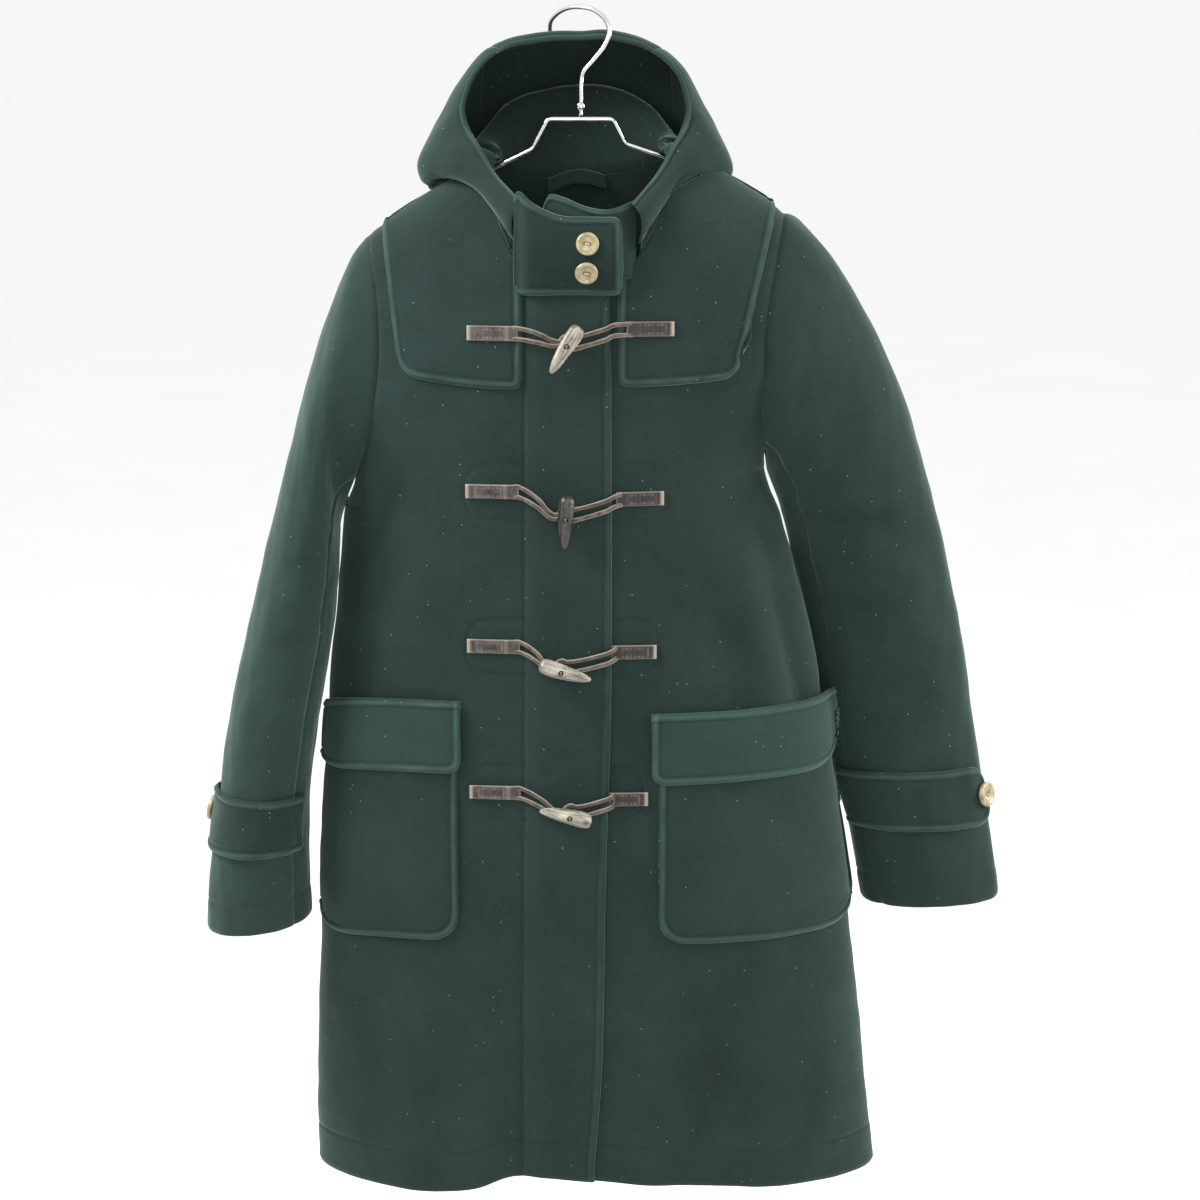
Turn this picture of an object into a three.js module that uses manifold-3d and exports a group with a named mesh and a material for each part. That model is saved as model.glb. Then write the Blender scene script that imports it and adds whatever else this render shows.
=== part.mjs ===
// A hooded duffle coat of melton wool, buttoned up and hung on a wire hanger.
// Millimetres, +Z up. The front of the coat faces -Y and +X is the wearer's left. The origin is the inside
// top of the hanger's hook, where it bears on a rail.
import * as THREE from "three";
import { mergeVertices } from "three/addons/utils/BufferGeometryUtils.js";
import Module from "manifold-3d";

const wasm = await Module();
wasm.setup();

// Driving dimensions
const cloth = 3; // thickness of the melton
const seamGap = 0.3;
const layerGap = 0.8; // between two layers of cloth that lie on each other
const tape = 2; // thickness of the hanging loop and the leather
const wire = 4.2; // diameter of the hanger's wire

// Cross-sections of the body: side lines at y = 0, and how far front and back stand out from there
const bodySections = [
  { z: -1082, left: -254, right: 282, front: 90, back: 84 },
  { z: -1008, left: -253, right: 273, front: 92, back: 84 },
  { z: -926, left: -250, right: 264, front: 93, back: 83 },
  { z: -845, left: -246, right: 254, front: 93, back: 81 },
  { z: -765, left: -243, right: 243, front: 92, back: 79 },
  { z: -687, left: -238, right: 230, front: 90, back: 77 },
  { z: -610, left: -232, right: 221, front: 87, back: 75 },
  { z: -533, left: -221, right: 203, front: 84, back: 73 },
  { z: -439, left: -213, right: 177, front: 82, back: 72 },
  { z: -406, left: -211, right: 168, front: 82, back: 72 },
  { z: -180, left: -193, right: 186, front: 82, back: 72 },
];
const flatness = { front: 2.6, back: 2.4 }; // exponents of the sections: 2 is an ellipse, more is flatter

// The hem, seen from the front; behind it is level
const hemLine = [
  { x: -254, z: -1083 },
  { x: -140, z: -1085 },
  { x: -100, z: -1080 },
  { x: -60, z: -1066 },
  { x: 12, z: -1070 },
  { x: 56, z: -1073 },
  { x: 142, z: -1078 },
  { x: 282, z: -1084 },
];
const backHem = -1083;

// The shoulder line, from one sleeve to the other; between the neck points it is only the form's crest
const shoulderLine = [
  { x: -189, z: -197 },
  { x: -141, z: -166 },
  { x: -78, z: -131 },
  { x: 0, z: -96 },
  { x: 80, z: -121 },
  { x: 128, z: -144 },
  { x: 182, z: -177 },
];
const neck = { half: 79, frontDrop: 112, backDrop: 24, bulge: 2.1 };

// The armholes: shoulder tip, underarm, depth in front and behind, and how far they curve in
const armholes = {
  left: { tip: { x: -189, z: -197 }, under: { x: -213, z: -439 }, front: 62, back: 56, scoop: 22 },
  right: { tip: { x: 182, z: -177 }, under: { x: 168, z: -406 }, front: 62, back: 56, scoop: -12 },
};

// Soft folds that fall to the hem: where they run, how wide and deep they are at the hem, where they start
const folds = {
  front: [
    { x: -175, lean: 14, width: 34, depth: 5, start: -700 },
    { x: 66, lean: -6, width: 30, depth: 4, start: -760 },
    { x: 168, lean: 16, width: 40, depth: 7, start: -640 },
  ],
  back: [
    { x: -150, lean: -20, width: 44, depth: 9, start: -520 },
    { x: -20, lean: 6, width: 50, depth: 7, start: -600 },
    { x: 120, lean: 22, width: 46, depth: 10, start: -500 },
  ],
};

// The front edge of the lap, and the lap's own rise over the front beneath it
const frontEdge = [
  { z: -1070, x: 12 },
  { z: -964, x: 19 },
  { z: -792, x: 22 },
  { z: -603, x: 27 },
  { z: -236, x: 26 },
];
const lap = { rise: 4, from: -50, to: -40, corner: 17 };
const underlapEdge = -30;

// Sleeves: outer and inner edge of each section, depth in front and behind, y of the middle
const sleeveSections = {
  left: [
    { outerX: -206, outerZ: -220, innerX: -216, innerZ: -447, front: 66, back: 62, midY: 0 },
    { outerX: -241, outerZ: -310, innerX: -220, innerZ: -464, front: 70, back: 66, midY: -3 },
    { outerX: -256, outerZ: -365, innerX: -220, innerZ: -475, front: 69, back: 67, midY: -7 },
    { outerX: -271, outerZ: -420, innerX: -220, innerZ: -489, front: 66, back: 68, midY: -13 },
    { outerX: -299, outerZ: -533, innerX: -225, innerZ: -550, front: 60, back: 65, midY: -24 },
    { outerX: -325, outerZ: -648, innerX: -243, innerZ: -652, front: 56, back: 61, midY: -31 },
    { outerX: -333, outerZ: -706, innerX: -250, innerZ: -706, front: 53, back: 58, midY: -33 },
    { outerX: -342, outerZ: -762, innerX: -252, innerZ: -758, front: 51, back: 55, midY: -34 },
    { outerX: -349, outerZ: -835, innerX: -251, innerZ: -824, front: 49, back: 52, midY: -34 },
  ],
  right: [
    { outerX: 196, outerZ: -184, innerX: 171, innerZ: -414, front: 62, back: 58, midY: 0 },
    { outerX: 226, outerZ: -218, innerX: 174, innerZ: -422, front: 59, back: 57, midY: 1 },
    { outerX: 272, outerZ: -297, innerX: 181, innerZ: -440, front: 53, back: 53, midY: 4 },
    { outerX: 292, outerZ: -342, innerX: 184, innerZ: -452, front: 50, back: 50, midY: 7 },
    { outerX: 310, outerZ: -396, innerX: 189, innerZ: -468, front: 47, back: 47, midY: 11 },
    { outerX: 326, outerZ: -450, innerX: 194, innerZ: -492, front: 44, back: 44, midY: 15 },
    { outerX: 352, outerZ: -562, innerX: 211, innerZ: -571, front: 41, back: 41, midY: 22 },
    { outerX: 372, outerZ: -680, innerX: 232, innerZ: -682, front: 39, back: 39, midY: 23 },
    { outerX: 384, outerZ: -744, innerX: 250, innerZ: -744, front: 38, back: 38, midY: 20 },
    { outerX: 396, outerZ: -822, innerX: 266, innerZ: -826, front: 37, back: 37, midY: 15 },
  ],
};
const seamAngle = 140; // degrees from a sleeve's outer edge to its two long seams
const angleStep = 20;

// The hood, from the throat (first row) round to the middle of the top (last row). Each row is one line
// of cloth: front rim, rolled edge, outside, lowest point of the pouch, ridge inside, neckline at neckX.
const hoodSections = [
  {
    rim: [-50, -74, -160], out: [-56, -80, -166], fall: [-60, -81, -173], belly: [-61, -80, -180],
    low: [-61, -77, -188], ridge: [-57, -73, -199], neckX: -52, face: "front",
  },
  {
    rim: [-74, -50, -136], out: [-84, -53, -140], fall: [-91, -50, -144], belly: [-94, -45, -149],
    low: [-92, -40, -152], ridge: [-80, -48, -154], neckX: -68, face: "front",
  },
  {
    rim: [-88, -36, -115], out: [-105, -38, -121], fall: [-117, -34, -129], belly: [-123, -27, -138],
    low: [-119, -21, -145], ridge: [-91, -30, -134], neckX: -75, face: "front",
  },
  {
    rim: [-99, -22, -98], out: [-118, -19, -105], fall: [-134, -12, -119], belly: [-144, -5, -136],
    low: [-139, 2, -150], ridge: [-95, -4, -122], neckX: -78.5, face: "front",
  },
  {
    rim: [-103, -14, -79], out: [-114, -1, -84], fall: [-129, 14, -101], belly: [-140, 24, -128],
    low: [-134, 34, -160], ridge: [-94, 15, -120], neckX: -79, face: "back",
  },
  {
    rim: [-92, -8, -53], out: [-101, 8, -55], fall: [-112, 30, -72], belly: [-122, 52, -116],
    low: [-112, 62, -182], ridge: [-84, 38, -108], neckX: -75, face: "back",
  },
  {
    rim: [-69, 0, -34], out: [-77, 13, -33], fall: [-86, 40, -46], belly: [-91, 74, -104],
    low: [-82, 80, -200], ridge: [-64, 58, -88], neckX: -56, face: "back",
  },
  {
    rim: [-40, 6, -26], out: [-44, 17, -21], fall: [-48, 45, -32], belly: [-51, 84, -94],
    low: [-44, 86, -210], ridge: [-35, 64, -76], neckX: -29, face: "back",
  },
  {
    rim: [-2, 10, -24], out: [-2, 20, -19], fall: [-2, 47, -30], belly: [-2, 88, -90],
    low: [-2, 89, -214], ridge: [-1, 66, -72], neckX: 0, face: "back",
  },
];
const hoodRight = 0.925; // the right half of the hood is this much of the left half's reach
// The pouch behind: the first row that has one, its thickness, how its turn rises, the turn's place before that
const pouch = { from: 5, thick: 17, turn: 9, flat: 0.35 };
const hoodSteps = { along: 13, free: 4, sideRows: 6 };
const bandFrom = 9; // step along a hood line where the neck band begins
const bandRows = 4; // sections from the throat that the band runs along

// The throat tab: its face from top to bottom, and the smaller end beneath it
const throatTab = {
  left: -56,
  right: 37,
  corner: 9,
  slant: { rise: 26, reach: 0.55 }, // its top edge climbs towards the hood over this share of its width
  profile: [
    { z: -172, y: -86 },
    { z: -185, y: -89 },
    { z: -198, y: -91 },
    { z: -211, y: -90 },
    { z: -222, y: -87.5 },
    { z: -232, y: -84.4 },
    { z: -240, y: -82.1 },
  ],
};
const underTab = [
  { x: -31, topY: -72, topZ: -158, lowY: -73, lowZ: -176 },
  { x: -25, topY: -78.5, topZ: -150, lowY: -80, lowZ: -180 },
  { x: -14, topY: -80.5, topZ: -156, lowY: -83.4, lowZ: -184 },
  { x: 6, topY: -81, topZ: -164, lowY: -84.6, lowZ: -188 },
  { x: 24, topY: -80, topZ: -167, lowY: -83.6, lowZ: -188 },
  { x: 36, topY: -76, topZ: -162, lowY: -78, lowZ: -184 },
  { x: 43, topY: -72, topZ: -155, lowY: -73, lowZ: -180 },
];

// Yokes: bottom edge, outer edge where it crosses the shoulder and where it ends, inner edge
const yokes = {
  left: { bottom: -322, outerTop: -174, outerLow: -161, inner: -51, corner: 21, innerCorner: 8 },
  right: { bottom: -320, outerTop: 172, outerLow: 142, inner: 34, corner: 18, innerCorner: 7 },
  back: { bottom: -330, corner: 30, inset: 14 },
};

// Pockets and their flaps: inner edges, bottom and top, and the angle round the body where they end
const pocketEnd = { right: 12, left: 4 }; // degrees short of the side line
const pocketSag = { right: 16, left: 0 }; // how far a pocket hangs lower at its outer end
const pockets = {
  right: { inner: -111, bottom: -832, corner: 26, flapInner: -107, flapTop: -606, flapBottom: -672 },
  left: { inner: 71, bottom: -834, corner: 26, flapInner: 64, flapTop: -617, flapBottom: -682 },
};
const flapCorner = 13;
const flapOver = 12; // how far a flap hangs over the pocket's top

// Rows of toggles: height, ends of the two leather tabs, and each toggle's thick end and tip
const tabHeight = 12.5;
const toggleRows = [
  {
    left: { from: -98, to: -54, z: -274 }, right: { from: 41, to: 82, z: -270 },
    thick: { x: 0, z: -265 }, tip: { x: -27, z: -305 },
  },
  {
    left: { from: -101, to: -54, z: -414 }, right: { from: 32, to: 74, z: -421 },
    thick: { x: -11, z: -414 }, tip: { x: -15, z: -457 },
  },
  {
    left: { from: -101, to: -54, z: -555 }, right: { from: 28, to: 68, z: -560 },
    thick: { x: -36, z: -566 }, tip: { x: 9, z: -582 },
  },
  {
    left: { from: -100, to: -54, z: -690 }, right: { from: 26, to: 61, z: -696 },
    thick: { x: 10, z: -712 }, tip: { x: -36, z: -699 },
  },
];
const toggle = { length: 48, radius: 7.2, hole: 5, holeAt: 0.42 };
const toggleProfile = [
  { radius: 3.4, along: 0.4 },
  { radius: 6.2, along: 3 },
  { radius: 7.2, along: 9 },
  { radius: 7, along: 18 },
  { radius: 6, along: 28 },
  { radius: 4.6, along: 38 },
  { radius: 2.6, along: 45.5 },
];
const cord = 3.2;
const loopEye = 6.5; // half width of a loop's round end
const tabGrip = 5; // length of cord held under a tab
const cordApart = 0.9; // half the distance between a cord's two ends in the toggle

// Buttons: diameter, thickness and holes
const tabButton = { diameter: 20, thickness: 4 };
const cuffButton = { diameter: 23, thickness: 4.4 };
const buttonHole = { diameter: 2, apart: 4.4 };
const buttonBevel = 0.8;
const tabButtons = {
  upper: { x: 7, y: -91.2, z: -194, down: -0.06 },
  lower: { x: 6, y: -89.4, z: -219, down: 0.29 },
};
const cuffStraps = {
  left: { low: -756, high: -700, from: 152, to: -26, buttonAt: -14 },
  right: { low: -750, high: -694, from: 168, to: 14, buttonAt: 24 },
};
const strapEnd = 24; // degrees over which a strap's end is rounded
const strapOff = cloth + layerGap + seamGap;

// The hanger: route of the hook, and of the frame inside the coat
const hookRoute = [
  [-27, 37, -22],
  [-26, 30, -12],
  [-20, 21, -4.6],
  [-11, 11, 0.6],
  [0, 2, 2.1],
  [12, -5, 0],
  [22, -10, -7.5],
  [26, -12, -18],
  [22, -12, -30],
  [12, -10, -43],
  [3, -8, -54],
  [1, -8, -64],
];
const shank = { x: 1, y: -8, low: -91.2, ball: 4.2, ballZ: -83 };
const bar = { left: -28, right: 29, z: -94.2, y: -8 };
const knee = { left: { x: -42, z: -121 }, right: { x: 40, z: -116 }, y: -5 };
const frameBend = 6; // radius of the frame's bends

// The hanging loop of tape, sewn in behind at the neckline
const hangingLoop = { from: -28, to: 22, width: 11, rise: 8, lean: 5 };

// Colours
const woolGreen = 0x2f4440;
const leatherBrown = 0x6b6460;
const hornGrey = 0x8d8a80;
const hornDark = 0x26241f;
const buttonOlive = 0xa8986a;
const wireSilver = 0xd8dad8;

const wool = () => new THREE.MeshStandardMaterial({ color: woolGreen, roughness: 0.95, metalness: 0 });
const leather = () => new THREE.MeshStandardMaterial({ color: leatherBrown, roughness: 0.6, metalness: 0 });
const horn = (color) => new THREE.MeshStandardMaterial({ color, roughness: 0.4, metalness: 0 });
const vegetableIvory = () =>
  new THREE.MeshStandardMaterial({ color: buttonOlive, roughness: 0.45, metalness: 0 });
const steel = () => new THREE.MeshStandardMaterial({ color: wireSilver, roughness: 0.25, metalness: 1 });

// Small helpers
const lerp = THREE.MathUtils.lerp;
const radians = THREE.MathUtils.degToRad;
const V = (x, y, z) => new THREE.Vector3(x, y, z);
const clamp = (value, low, high) => Math.min(high, Math.max(low, value));
const range = (count) => Array.from({ length: count }, (_, i) => i);

// A smooth curve through a table: the value of one column where another column has the value `at`.
function smooth(rows, key, by, at) {
  const up = rows[rows.length - 1][by] > rows[0][by] ? 1 : -1;
  let i = 0;
  while (i < rows.length - 2 && (rows[i + 1][by] - at) * up < 0) i++;
  const row = (k) => rows[clamp(k, 0, rows.length - 1)];
  const t = clamp((at - row(i)[by]) / (row(i + 1)[by] - row(i)[by]), 0, 1);
  const slope = (k) => (row(k + 1)[key] - row(k - 1)[key]) / (row(k + 1)[by] - row(k - 1)[by]);
  const width = row(i + 1)[by] - row(i)[by];
  const a = row(i)[key];
  const b = row(i + 1)[key];
  const cubic = 3 * t * t - 2 * t * t * t;
  const leaving = slope(i) * width * (t - 2 * t * t + t * t * t);
  const arriving = slope(i + 1) * width * (t * t * t - t * t);
  return a + (b - a) * cubic + leaving + arriving;
}

const smoothstep = (value, from, to) => {
  const t = clamp((value - from) / (to - from), 0, 1);
  return t * t * (3 - 2 * t);
};

// The form of the body

const middle = (z) => (smooth(bodySections, "left", "z", z) + smooth(bodySections, "right", "z", z)) / 2;
const crest = (x) => smooth(shoulderLine, "z", "x", x);

// Height of the underarm line at x, straight from one underarm to the other
function underarm(x) {
  const { left, right } = armholes;
  const t = clamp((x - left.under.x) / (right.under.x - left.under.x), 0, 1);
  return lerp(left.under.z, right.under.z, t);
}

// A point of an armhole: angle 0 is the shoulder tip, 90 the front, 180 the underarm, 270 the back
function armholePoint(side, angle) {
  const hole = armholes[side];
  const c = Math.cos(radians(angle));
  const s = Math.sin(radians(angle));
  const depth = s > 0 ? hole.front : hole.back;
  return V(
    lerp(hole.under.x, hole.tip.x, (1 + c) / 2) + hole.scoop * s * s,
    -depth * s,
    lerp(hole.under.z, hole.tip.z, (1 + c) / 2),
  );
}

// Squared depth of the form in front or behind, which closes at the shoulder line
function depthSquared(x, z, face) {
  const rise = clamp((z - underarm(x)) / (crest(x) - underarm(x)), 0, 2);
  const depth = smooth(bodySections, face, "z", z);
  return depth * depth * (1 - rise ** 3);
}

// Half width of the section at z on one side; above the underarm it reaches on under the sleeve
const sleeveReach = 0.97;
function halfWidth(side, z, face) {
  const hole = armholes[side];
  const mid = middle(z);
  if (z <= hole.under.z) return Math.abs(smooth(bodySections, side, "z", z) - mid);
  const height = (hole.tip.z - hole.under.z) / 2;
  const c = clamp((z - hole.under.z) / height - 1, -1, sleeveReach);
  const s = Math.sqrt(1 - c * c);
  const x = lerp(hole.under.x, hole.tip.x, (1 + c) / 2) + hole.scoop * s * s;
  const level = hole.under.z + (1 + c) * height;
  const share = (hole[face] * s) ** 2 / depthSquared(x, level, face);
  return Math.abs(x - middle(level)) / (1 - Math.min(share, 0.9)) ** (1 / flatness[face]);
}

// Share of the half width at x. Above the underarm the widening is eased in towards the middle.
const easeIn = 110;
function across(x, z, face) {
  const mid = middle(z);
  const side = x < mid ? "left" : "right";
  const full = halfWidth(side, z, face);
  const under = armholes[side].under.z;
  if (z <= under) return (x - mid) / full;
  const eased = lerp(halfWidth(side, under, face), full, smoothstep(z, under, under + easeIn));
  const share = Math.abs(x - mid) / full;
  return (x - mid) / lerp(eased, full, smoothstep(share, 0.7, 0.98));
}

function foldDepth(x, z, face) {
  const fade = Math.max(0, 1 - across(x, z, face) ** 4);
  return folds[face].reduce((sum, fold) => {
    const grown = smoothstep(z, fold.start, bodySections[0].z);
    const d = (x - fold.x - fold.lean * grown) / fold.width;
    return sum + fold.depth * grown * fade * Math.exp(-d * d);
  }, 0);
}

const lapRise = (x) => lap.rise * smoothstep(x, lap.from, lap.to);

// y of the cloth's outer face at x, z
function bodyY(x, z, face) {
  const share = Math.abs(across(x, z, face)) ** flatness[face];
  const y = Math.sqrt(Math.max(0, depthSquared(x, z, face) * (1 - share)));
  const out = y + foldDepth(x, z, face);
  return face === "front" ? -out : out;
}

// Outward normal of the form at a point, from the slope of its implicit function
function bodyNormal(p, face) {
  const level = (x, y, z) => {
    const share = Math.abs(across(x, z, face)) ** flatness[face];
    const fold = foldDepth(x, z, face) * Math.sign(y);
    return depthSquared(x, z, face) * (share - 1) + (y - fold) ** 2;
  };
  const step = 0.5;
  const slope = V(
    level(p.x + step, p.y, p.z) - level(p.x - step, p.y, p.z),
    level(p.x, p.y + step, p.z) - level(p.x, p.y - step, p.z),
    level(p.x, p.y, p.z + step) - level(p.x, p.y, p.z - step),
  );
  return slope.normalize();
}

// A point on the body, with its normal, moved out by `off`
function onBody(x, z, face, off = 0) {
  const p = V(x, bodyY(x, z, face), z);
  const n = bodyNormal(p, face);
  return { p: p.addScaledVector(n, off), n };
}

// The same on the front that laps over: it rises near its edge
const onLap = (x, z, off = 0) => onBody(x, z, "front", off + lapRise(x));

function neckline(x, face) {
  const share = clamp(Math.abs(x) / neck.half, 0, 1) ** neck.bulge;
  const drop = face === "front" ? neck.frontDrop : neck.backDrop;
  const shoulder = lerp(crest(-neck.half), crest(neck.half), (x / neck.half + 1) / 2);
  return shoulder - drop * Math.sqrt(1 - share);
}

// Top edge of a body panel: shoulder seam, then neckline
const panelTop = (x, face) => (Math.abs(x) >= neck.half ? crest(x) : neckline(x, face));

// Walls of cloth

// A closed wall from a grid of outer points and normals; every edge is drawn in by half a seam gap.
function wall(grid, thickness = cloth, gap = seamGap) {
  const rows = grid.length;
  const cols = grid[0].length;
  const outer = grid.map((row) => row.map((cell) => cell.p.clone()));
  const draw = (from, to) => from.addScaledVector(to.clone().sub(from).normalize(), gap / 2);
  for (const row of outer) {
    draw(row[0], row[1]);
    draw(row[cols - 1], row[cols - 2]);
  }
  for (const j of range(cols)) {
    draw(outer[0][j], outer[1][j]);
    draw(outer[rows - 1][j], outer[rows - 2][j]);
  }
  const inner = outer.map((row, i) => row.map((p, j) => p.clone().addScaledVector(grid[i][j].n, -thickness)));
  const points = [...outer.flat(), ...inner.flat()];
  const index = [];
  const at = (i, j, layer) => layer * rows * cols + i * cols + j;
  const quad = (a, b, c, d) => index.push(a, b, c, a, c, d);
  for (const i of range(rows - 1)) {
    for (const j of range(cols - 1)) {
      quad(at(i, j, 0), at(i, j + 1, 0), at(i + 1, j + 1, 0), at(i + 1, j, 0));
      quad(at(i, j, 1), at(i + 1, j, 1), at(i + 1, j + 1, 1), at(i, j + 1, 1));
    }
  }
  for (const i of range(rows - 1)) {
    quad(at(i, 0, 0), at(i + 1, 0, 0), at(i + 1, 0, 1), at(i, 0, 1));
    quad(at(i, cols - 1, 1), at(i + 1, cols - 1, 1), at(i + 1, cols - 1, 0), at(i, cols - 1, 0));
  }
  for (const j of range(cols - 1)) {
    quad(at(0, j, 1), at(0, j + 1, 1), at(0, j + 1, 0), at(0, j, 0));
    quad(at(rows - 1, j, 0), at(rows - 1, j + 1, 0), at(rows - 1, j + 1, 1), at(rows - 1, j, 1));
  }
  return closed(points, index);
}

// A geometry from points and triangles, turned so that its faces point out
function closed(points, index) {
  const volume = (order) => {
    let sum = 0;
    for (let i = 0; i < order.length; i += 3) {
      const [a, b, c] = [points[order[i]], points[order[i + 1]], points[order[i + 2]]];
      sum += a.dot(b.clone().cross(c));
    }
    return sum;
  };
  if (volume(index) < 0) index.reverse();
  const geometry = new THREE.BufferGeometry().setFromPoints(points);
  geometry.setIndex(index);
  return geometry;
}

// Normals of a grid of points; `wrap` joins its last column to its first
function gridNormals(points, wrap = false) {
  const rows = points.length;
  const cols = points[0].length;
  return points.map((row, i) =>
    row.map((p, j) => {
      const before = wrap ? (j - 1 + cols) % cols : Math.max(j - 1, 0);
      const after = wrap ? (j + 1) % cols : Math.min(j + 1, cols - 1);
      const acrossWay = row[after].clone().sub(row[before]);
      const down = points[Math.min(i + 1, rows - 1)][j].clone().sub(points[Math.max(i - 1, 0)][j]);
      return acrossWay.cross(down).normalize();
    }),
  );
}

const parts = new THREE.Group();
function add(name, geometry, material) {
  const mesh = new THREE.Mesh(geometry, material);
  mesh.name = name;
  parts.add(mesh);
}

// A piece of cloth. Where its flat facets would touch a neighbour's, it is cut clear of that neighbour.
const joined = 0.03; // facets that differ by less become one
const cloths = {};
const solids = {};
function addCloth(name, grid, gap = 0, clearOf = []) {
  cloths[name] = grid;
  let whole = solid(wall(grid, cloth, gap));
  for (const other of clearOf) {
    const near = swollen(cloths[other]);
    if (whole.intersect(near).volume() > 0) whole = whole.subtract(near);
    whole = nickClear(whole, solids[other]);
  }
  const parted = whole.simplify(joined).decompose();
  solids[name] = parted.sort((a, b) => b.volume() - a.volume())[0];
  add(name, geometryOf(solids[name]), wool());
}

// Cuts off what a piece still shares with a neighbour, with a seam gap all round
function nickClear(whole, other) {
  const shifts = [-seamGap, seamGap].flatMap((d) => [[d, 0, 0], [0, d, 0], [0, 0, d]]);
  const widened = (shared) => wasm.Manifold.hull(shifts.map((shift) => shared.translate(shift)));
  return whole
    .intersect(other)
    .decompose()
    .filter((shared) => shared.volume() > 0)
    .reduce((left, shared) => left.subtract(widened(shared)), whole);
}

// A piece's wall, larger all round
const swell = 0.5;
function swollen(grid) {
  const moved = grid.map((row) => row.map(({ p, n }) => ({ p: p.clone().addScaledVector(n, swell), n })));
  return solid(wall(moved, cloth + 2 * swell, -2 * swell));
}

// Solids joined and cut by manifold-3d

function solid(geometry) {
  const plain = geometry.index ? geometry.toNonIndexed() : geometry.clone();
  plain.deleteAttribute("normal");
  plain.deleteAttribute("uv");
  const merged = mergeVertices(plain, 1e-3);
  return new wasm.Manifold(
    new wasm.Mesh({
      numProp: 3,
      vertProperties: merged.attributes.position.array,
      triVerts: new Uint32Array(merged.index.array),
    }),
  );
}

function geometryOf(made) {
  const mesh = made.getMesh();
  const geometry = new THREE.BufferGeometry();
  geometry.setAttribute("position", new THREE.BufferAttribute(new Float32Array(mesh.vertProperties), 3));
  geometry.setIndex(new THREE.BufferAttribute(new Uint32Array(mesh.triVerts), 1));
  return geometry;
}

// Sleeves, made first because the body's armhole edges share their mitre

function sleeveGrid(side) {
  const angles = range(360 / angleStep).map((i) => i * angleStep);
  const armhole = angles.map((angle) => armholePoint(side, angle));
  const rows = sleeveSections[side].map((s) =>
    angles.map((angle) => {
      const c = Math.cos(radians(angle));
      const sine = Math.sin(radians(angle));
      const depth = sine > 0 ? s.front : s.back;
      const t = (1 + c) / 2;
      return V(lerp(s.innerX, s.outerX, t), s.midY - depth * sine, lerp(s.innerZ, s.outerZ, t));
    }),
  );
  return [armhole, ...rows];
}

const sleeves = {};
for (const side of ["left", "right"]) {
  const points = sleeveGrid(side);
  const away = gridNormals(points, true);
  const sign = Math.sign(away[6][0].x) === (side === "left" ? -1 : 1) ? 1 : -1;
  away.flat().forEach((n) => n.multiplyScalar(sign));
  points[0].forEach((p, i) => {
    const face = i * angleStep <= 180 ? "front" : "back";
    away[0][i].add(bodyNormal(p, face)).normalize();
  });
  sleeves[side] = points.map((row, i) => row.map((p, j) => ({ p, n: away[i][j] })));
}

const wearer = { left: "right", right: "left" }; // the picture's left is the wearer's right

function addSleeves(side) {
  const count = 360 / angleStep;
  const pick = (fromAngle, toAngle) =>
    sleeves[side].map((row) => {
      const cells = [];
      for (let angle = fromAngle; angle <= toAngle; angle += angleStep) {
        cells.push(row[(angle / angleStep + count) % count]);
      }
      return cells;
    });
  const top = "sleeve_top_" + wearer[side];
  addCloth(top, pick(-seamAngle, seamAngle), seamGap);
  addCloth("sleeve_under_" + wearer[side], pick(seamAngle, 360 - seamAngle), seamGap, [top]);
}

// Body panels

const hemZ = (x, face) => (face === "front" ? smooth(hemLine, "z", "x", x) : backHem);
const armRows = 180 / angleStep;
const lowRows = 9;

// One panel: columns run from the side to the other edge, rows from the hem to the shoulder and neck.
// `tops` are the x of the columns at the top; `lowX` gives their x lower down, from the side line and z.
function panel({ face, side, tops, lowX, place, trimTop = () => 0 }) {
  const hole = armholes[side];
  const columns = range(tops.length);
  const grid = [];
  for (const j of range(lowRows)) {
    const t = j / lowRows;
    const sideZ = lerp(hemZ(bodySections[0][side], face), hole.under.z, t);
    const sideX = smooth(bodySections, side, "z", sideZ);
    grid.push(
      columns.map((i) => {
        const x = lowX(i, sideX, sideZ);
        const z = lerp(hemZ(x, face), i === 0 ? hole.under.z : underarm(x), t);
        return place(x, z);
      }),
    );
  }
  for (const j of range(armRows + 1)) {
    const angle = 180 - j * angleStep;
    const t = (1 + Math.cos(radians(angle))) / 2;
    const turned = face === "front" ? angle : (360 - angle) % 360;
    grid.push(
      columns.map((i) => {
        if (i === 0) return sleeves[side][0][turned / angleStep];
        const low = lowX(i, hole.under.x, hole.under.z);
        const edge = lowX(tops.length - 1, hole.under.x, hole.under.z);
        const fromEdge = (low - edge) / (hole.under.x - edge);
        const x = lerp(low, tops[i], t) + hole.scoop * 4 * t * (1 - t) * fromEdge ** 2;
        const top = panelTop(tops[i], face) - trimTop(tops[i]) * smoothstep(t, 0.5, 1);
        return place(x, lerp(underarm(x), top, t));
      }),
    );
  }
  return grid;
}

// Shares 0 to 1 that start with small steps at the rounded side
const sideShares = (count) => range(count + 1).map((i) => (i / count) ** 1.45);
// Columns of a shoulder seam, from the sleeve as far as the neck point
const shoulderColumns = (tipX, count) =>
  range(count).map((i) => lerp(tipX, Math.sign(tipX) * neck.half, i / count));

function edgeX(z) {
  return smooth(frontEdge, "x", "z", z);
}

// How far the lap's rounded corner falls below the neckline
function cornerDrop(x) {
  const d = lap.corner - (edgeX(frontEdge[4].z) - x);
  return d <= 0 ? 0 : lap.corner - Math.sqrt(Math.max(0, lap.corner ** 2 - d * d));
}

// The lapping front has a column at each edge of the placket's step; its columns after that are `strip`
const stepColumn = 7;
const strip = 4;

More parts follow.
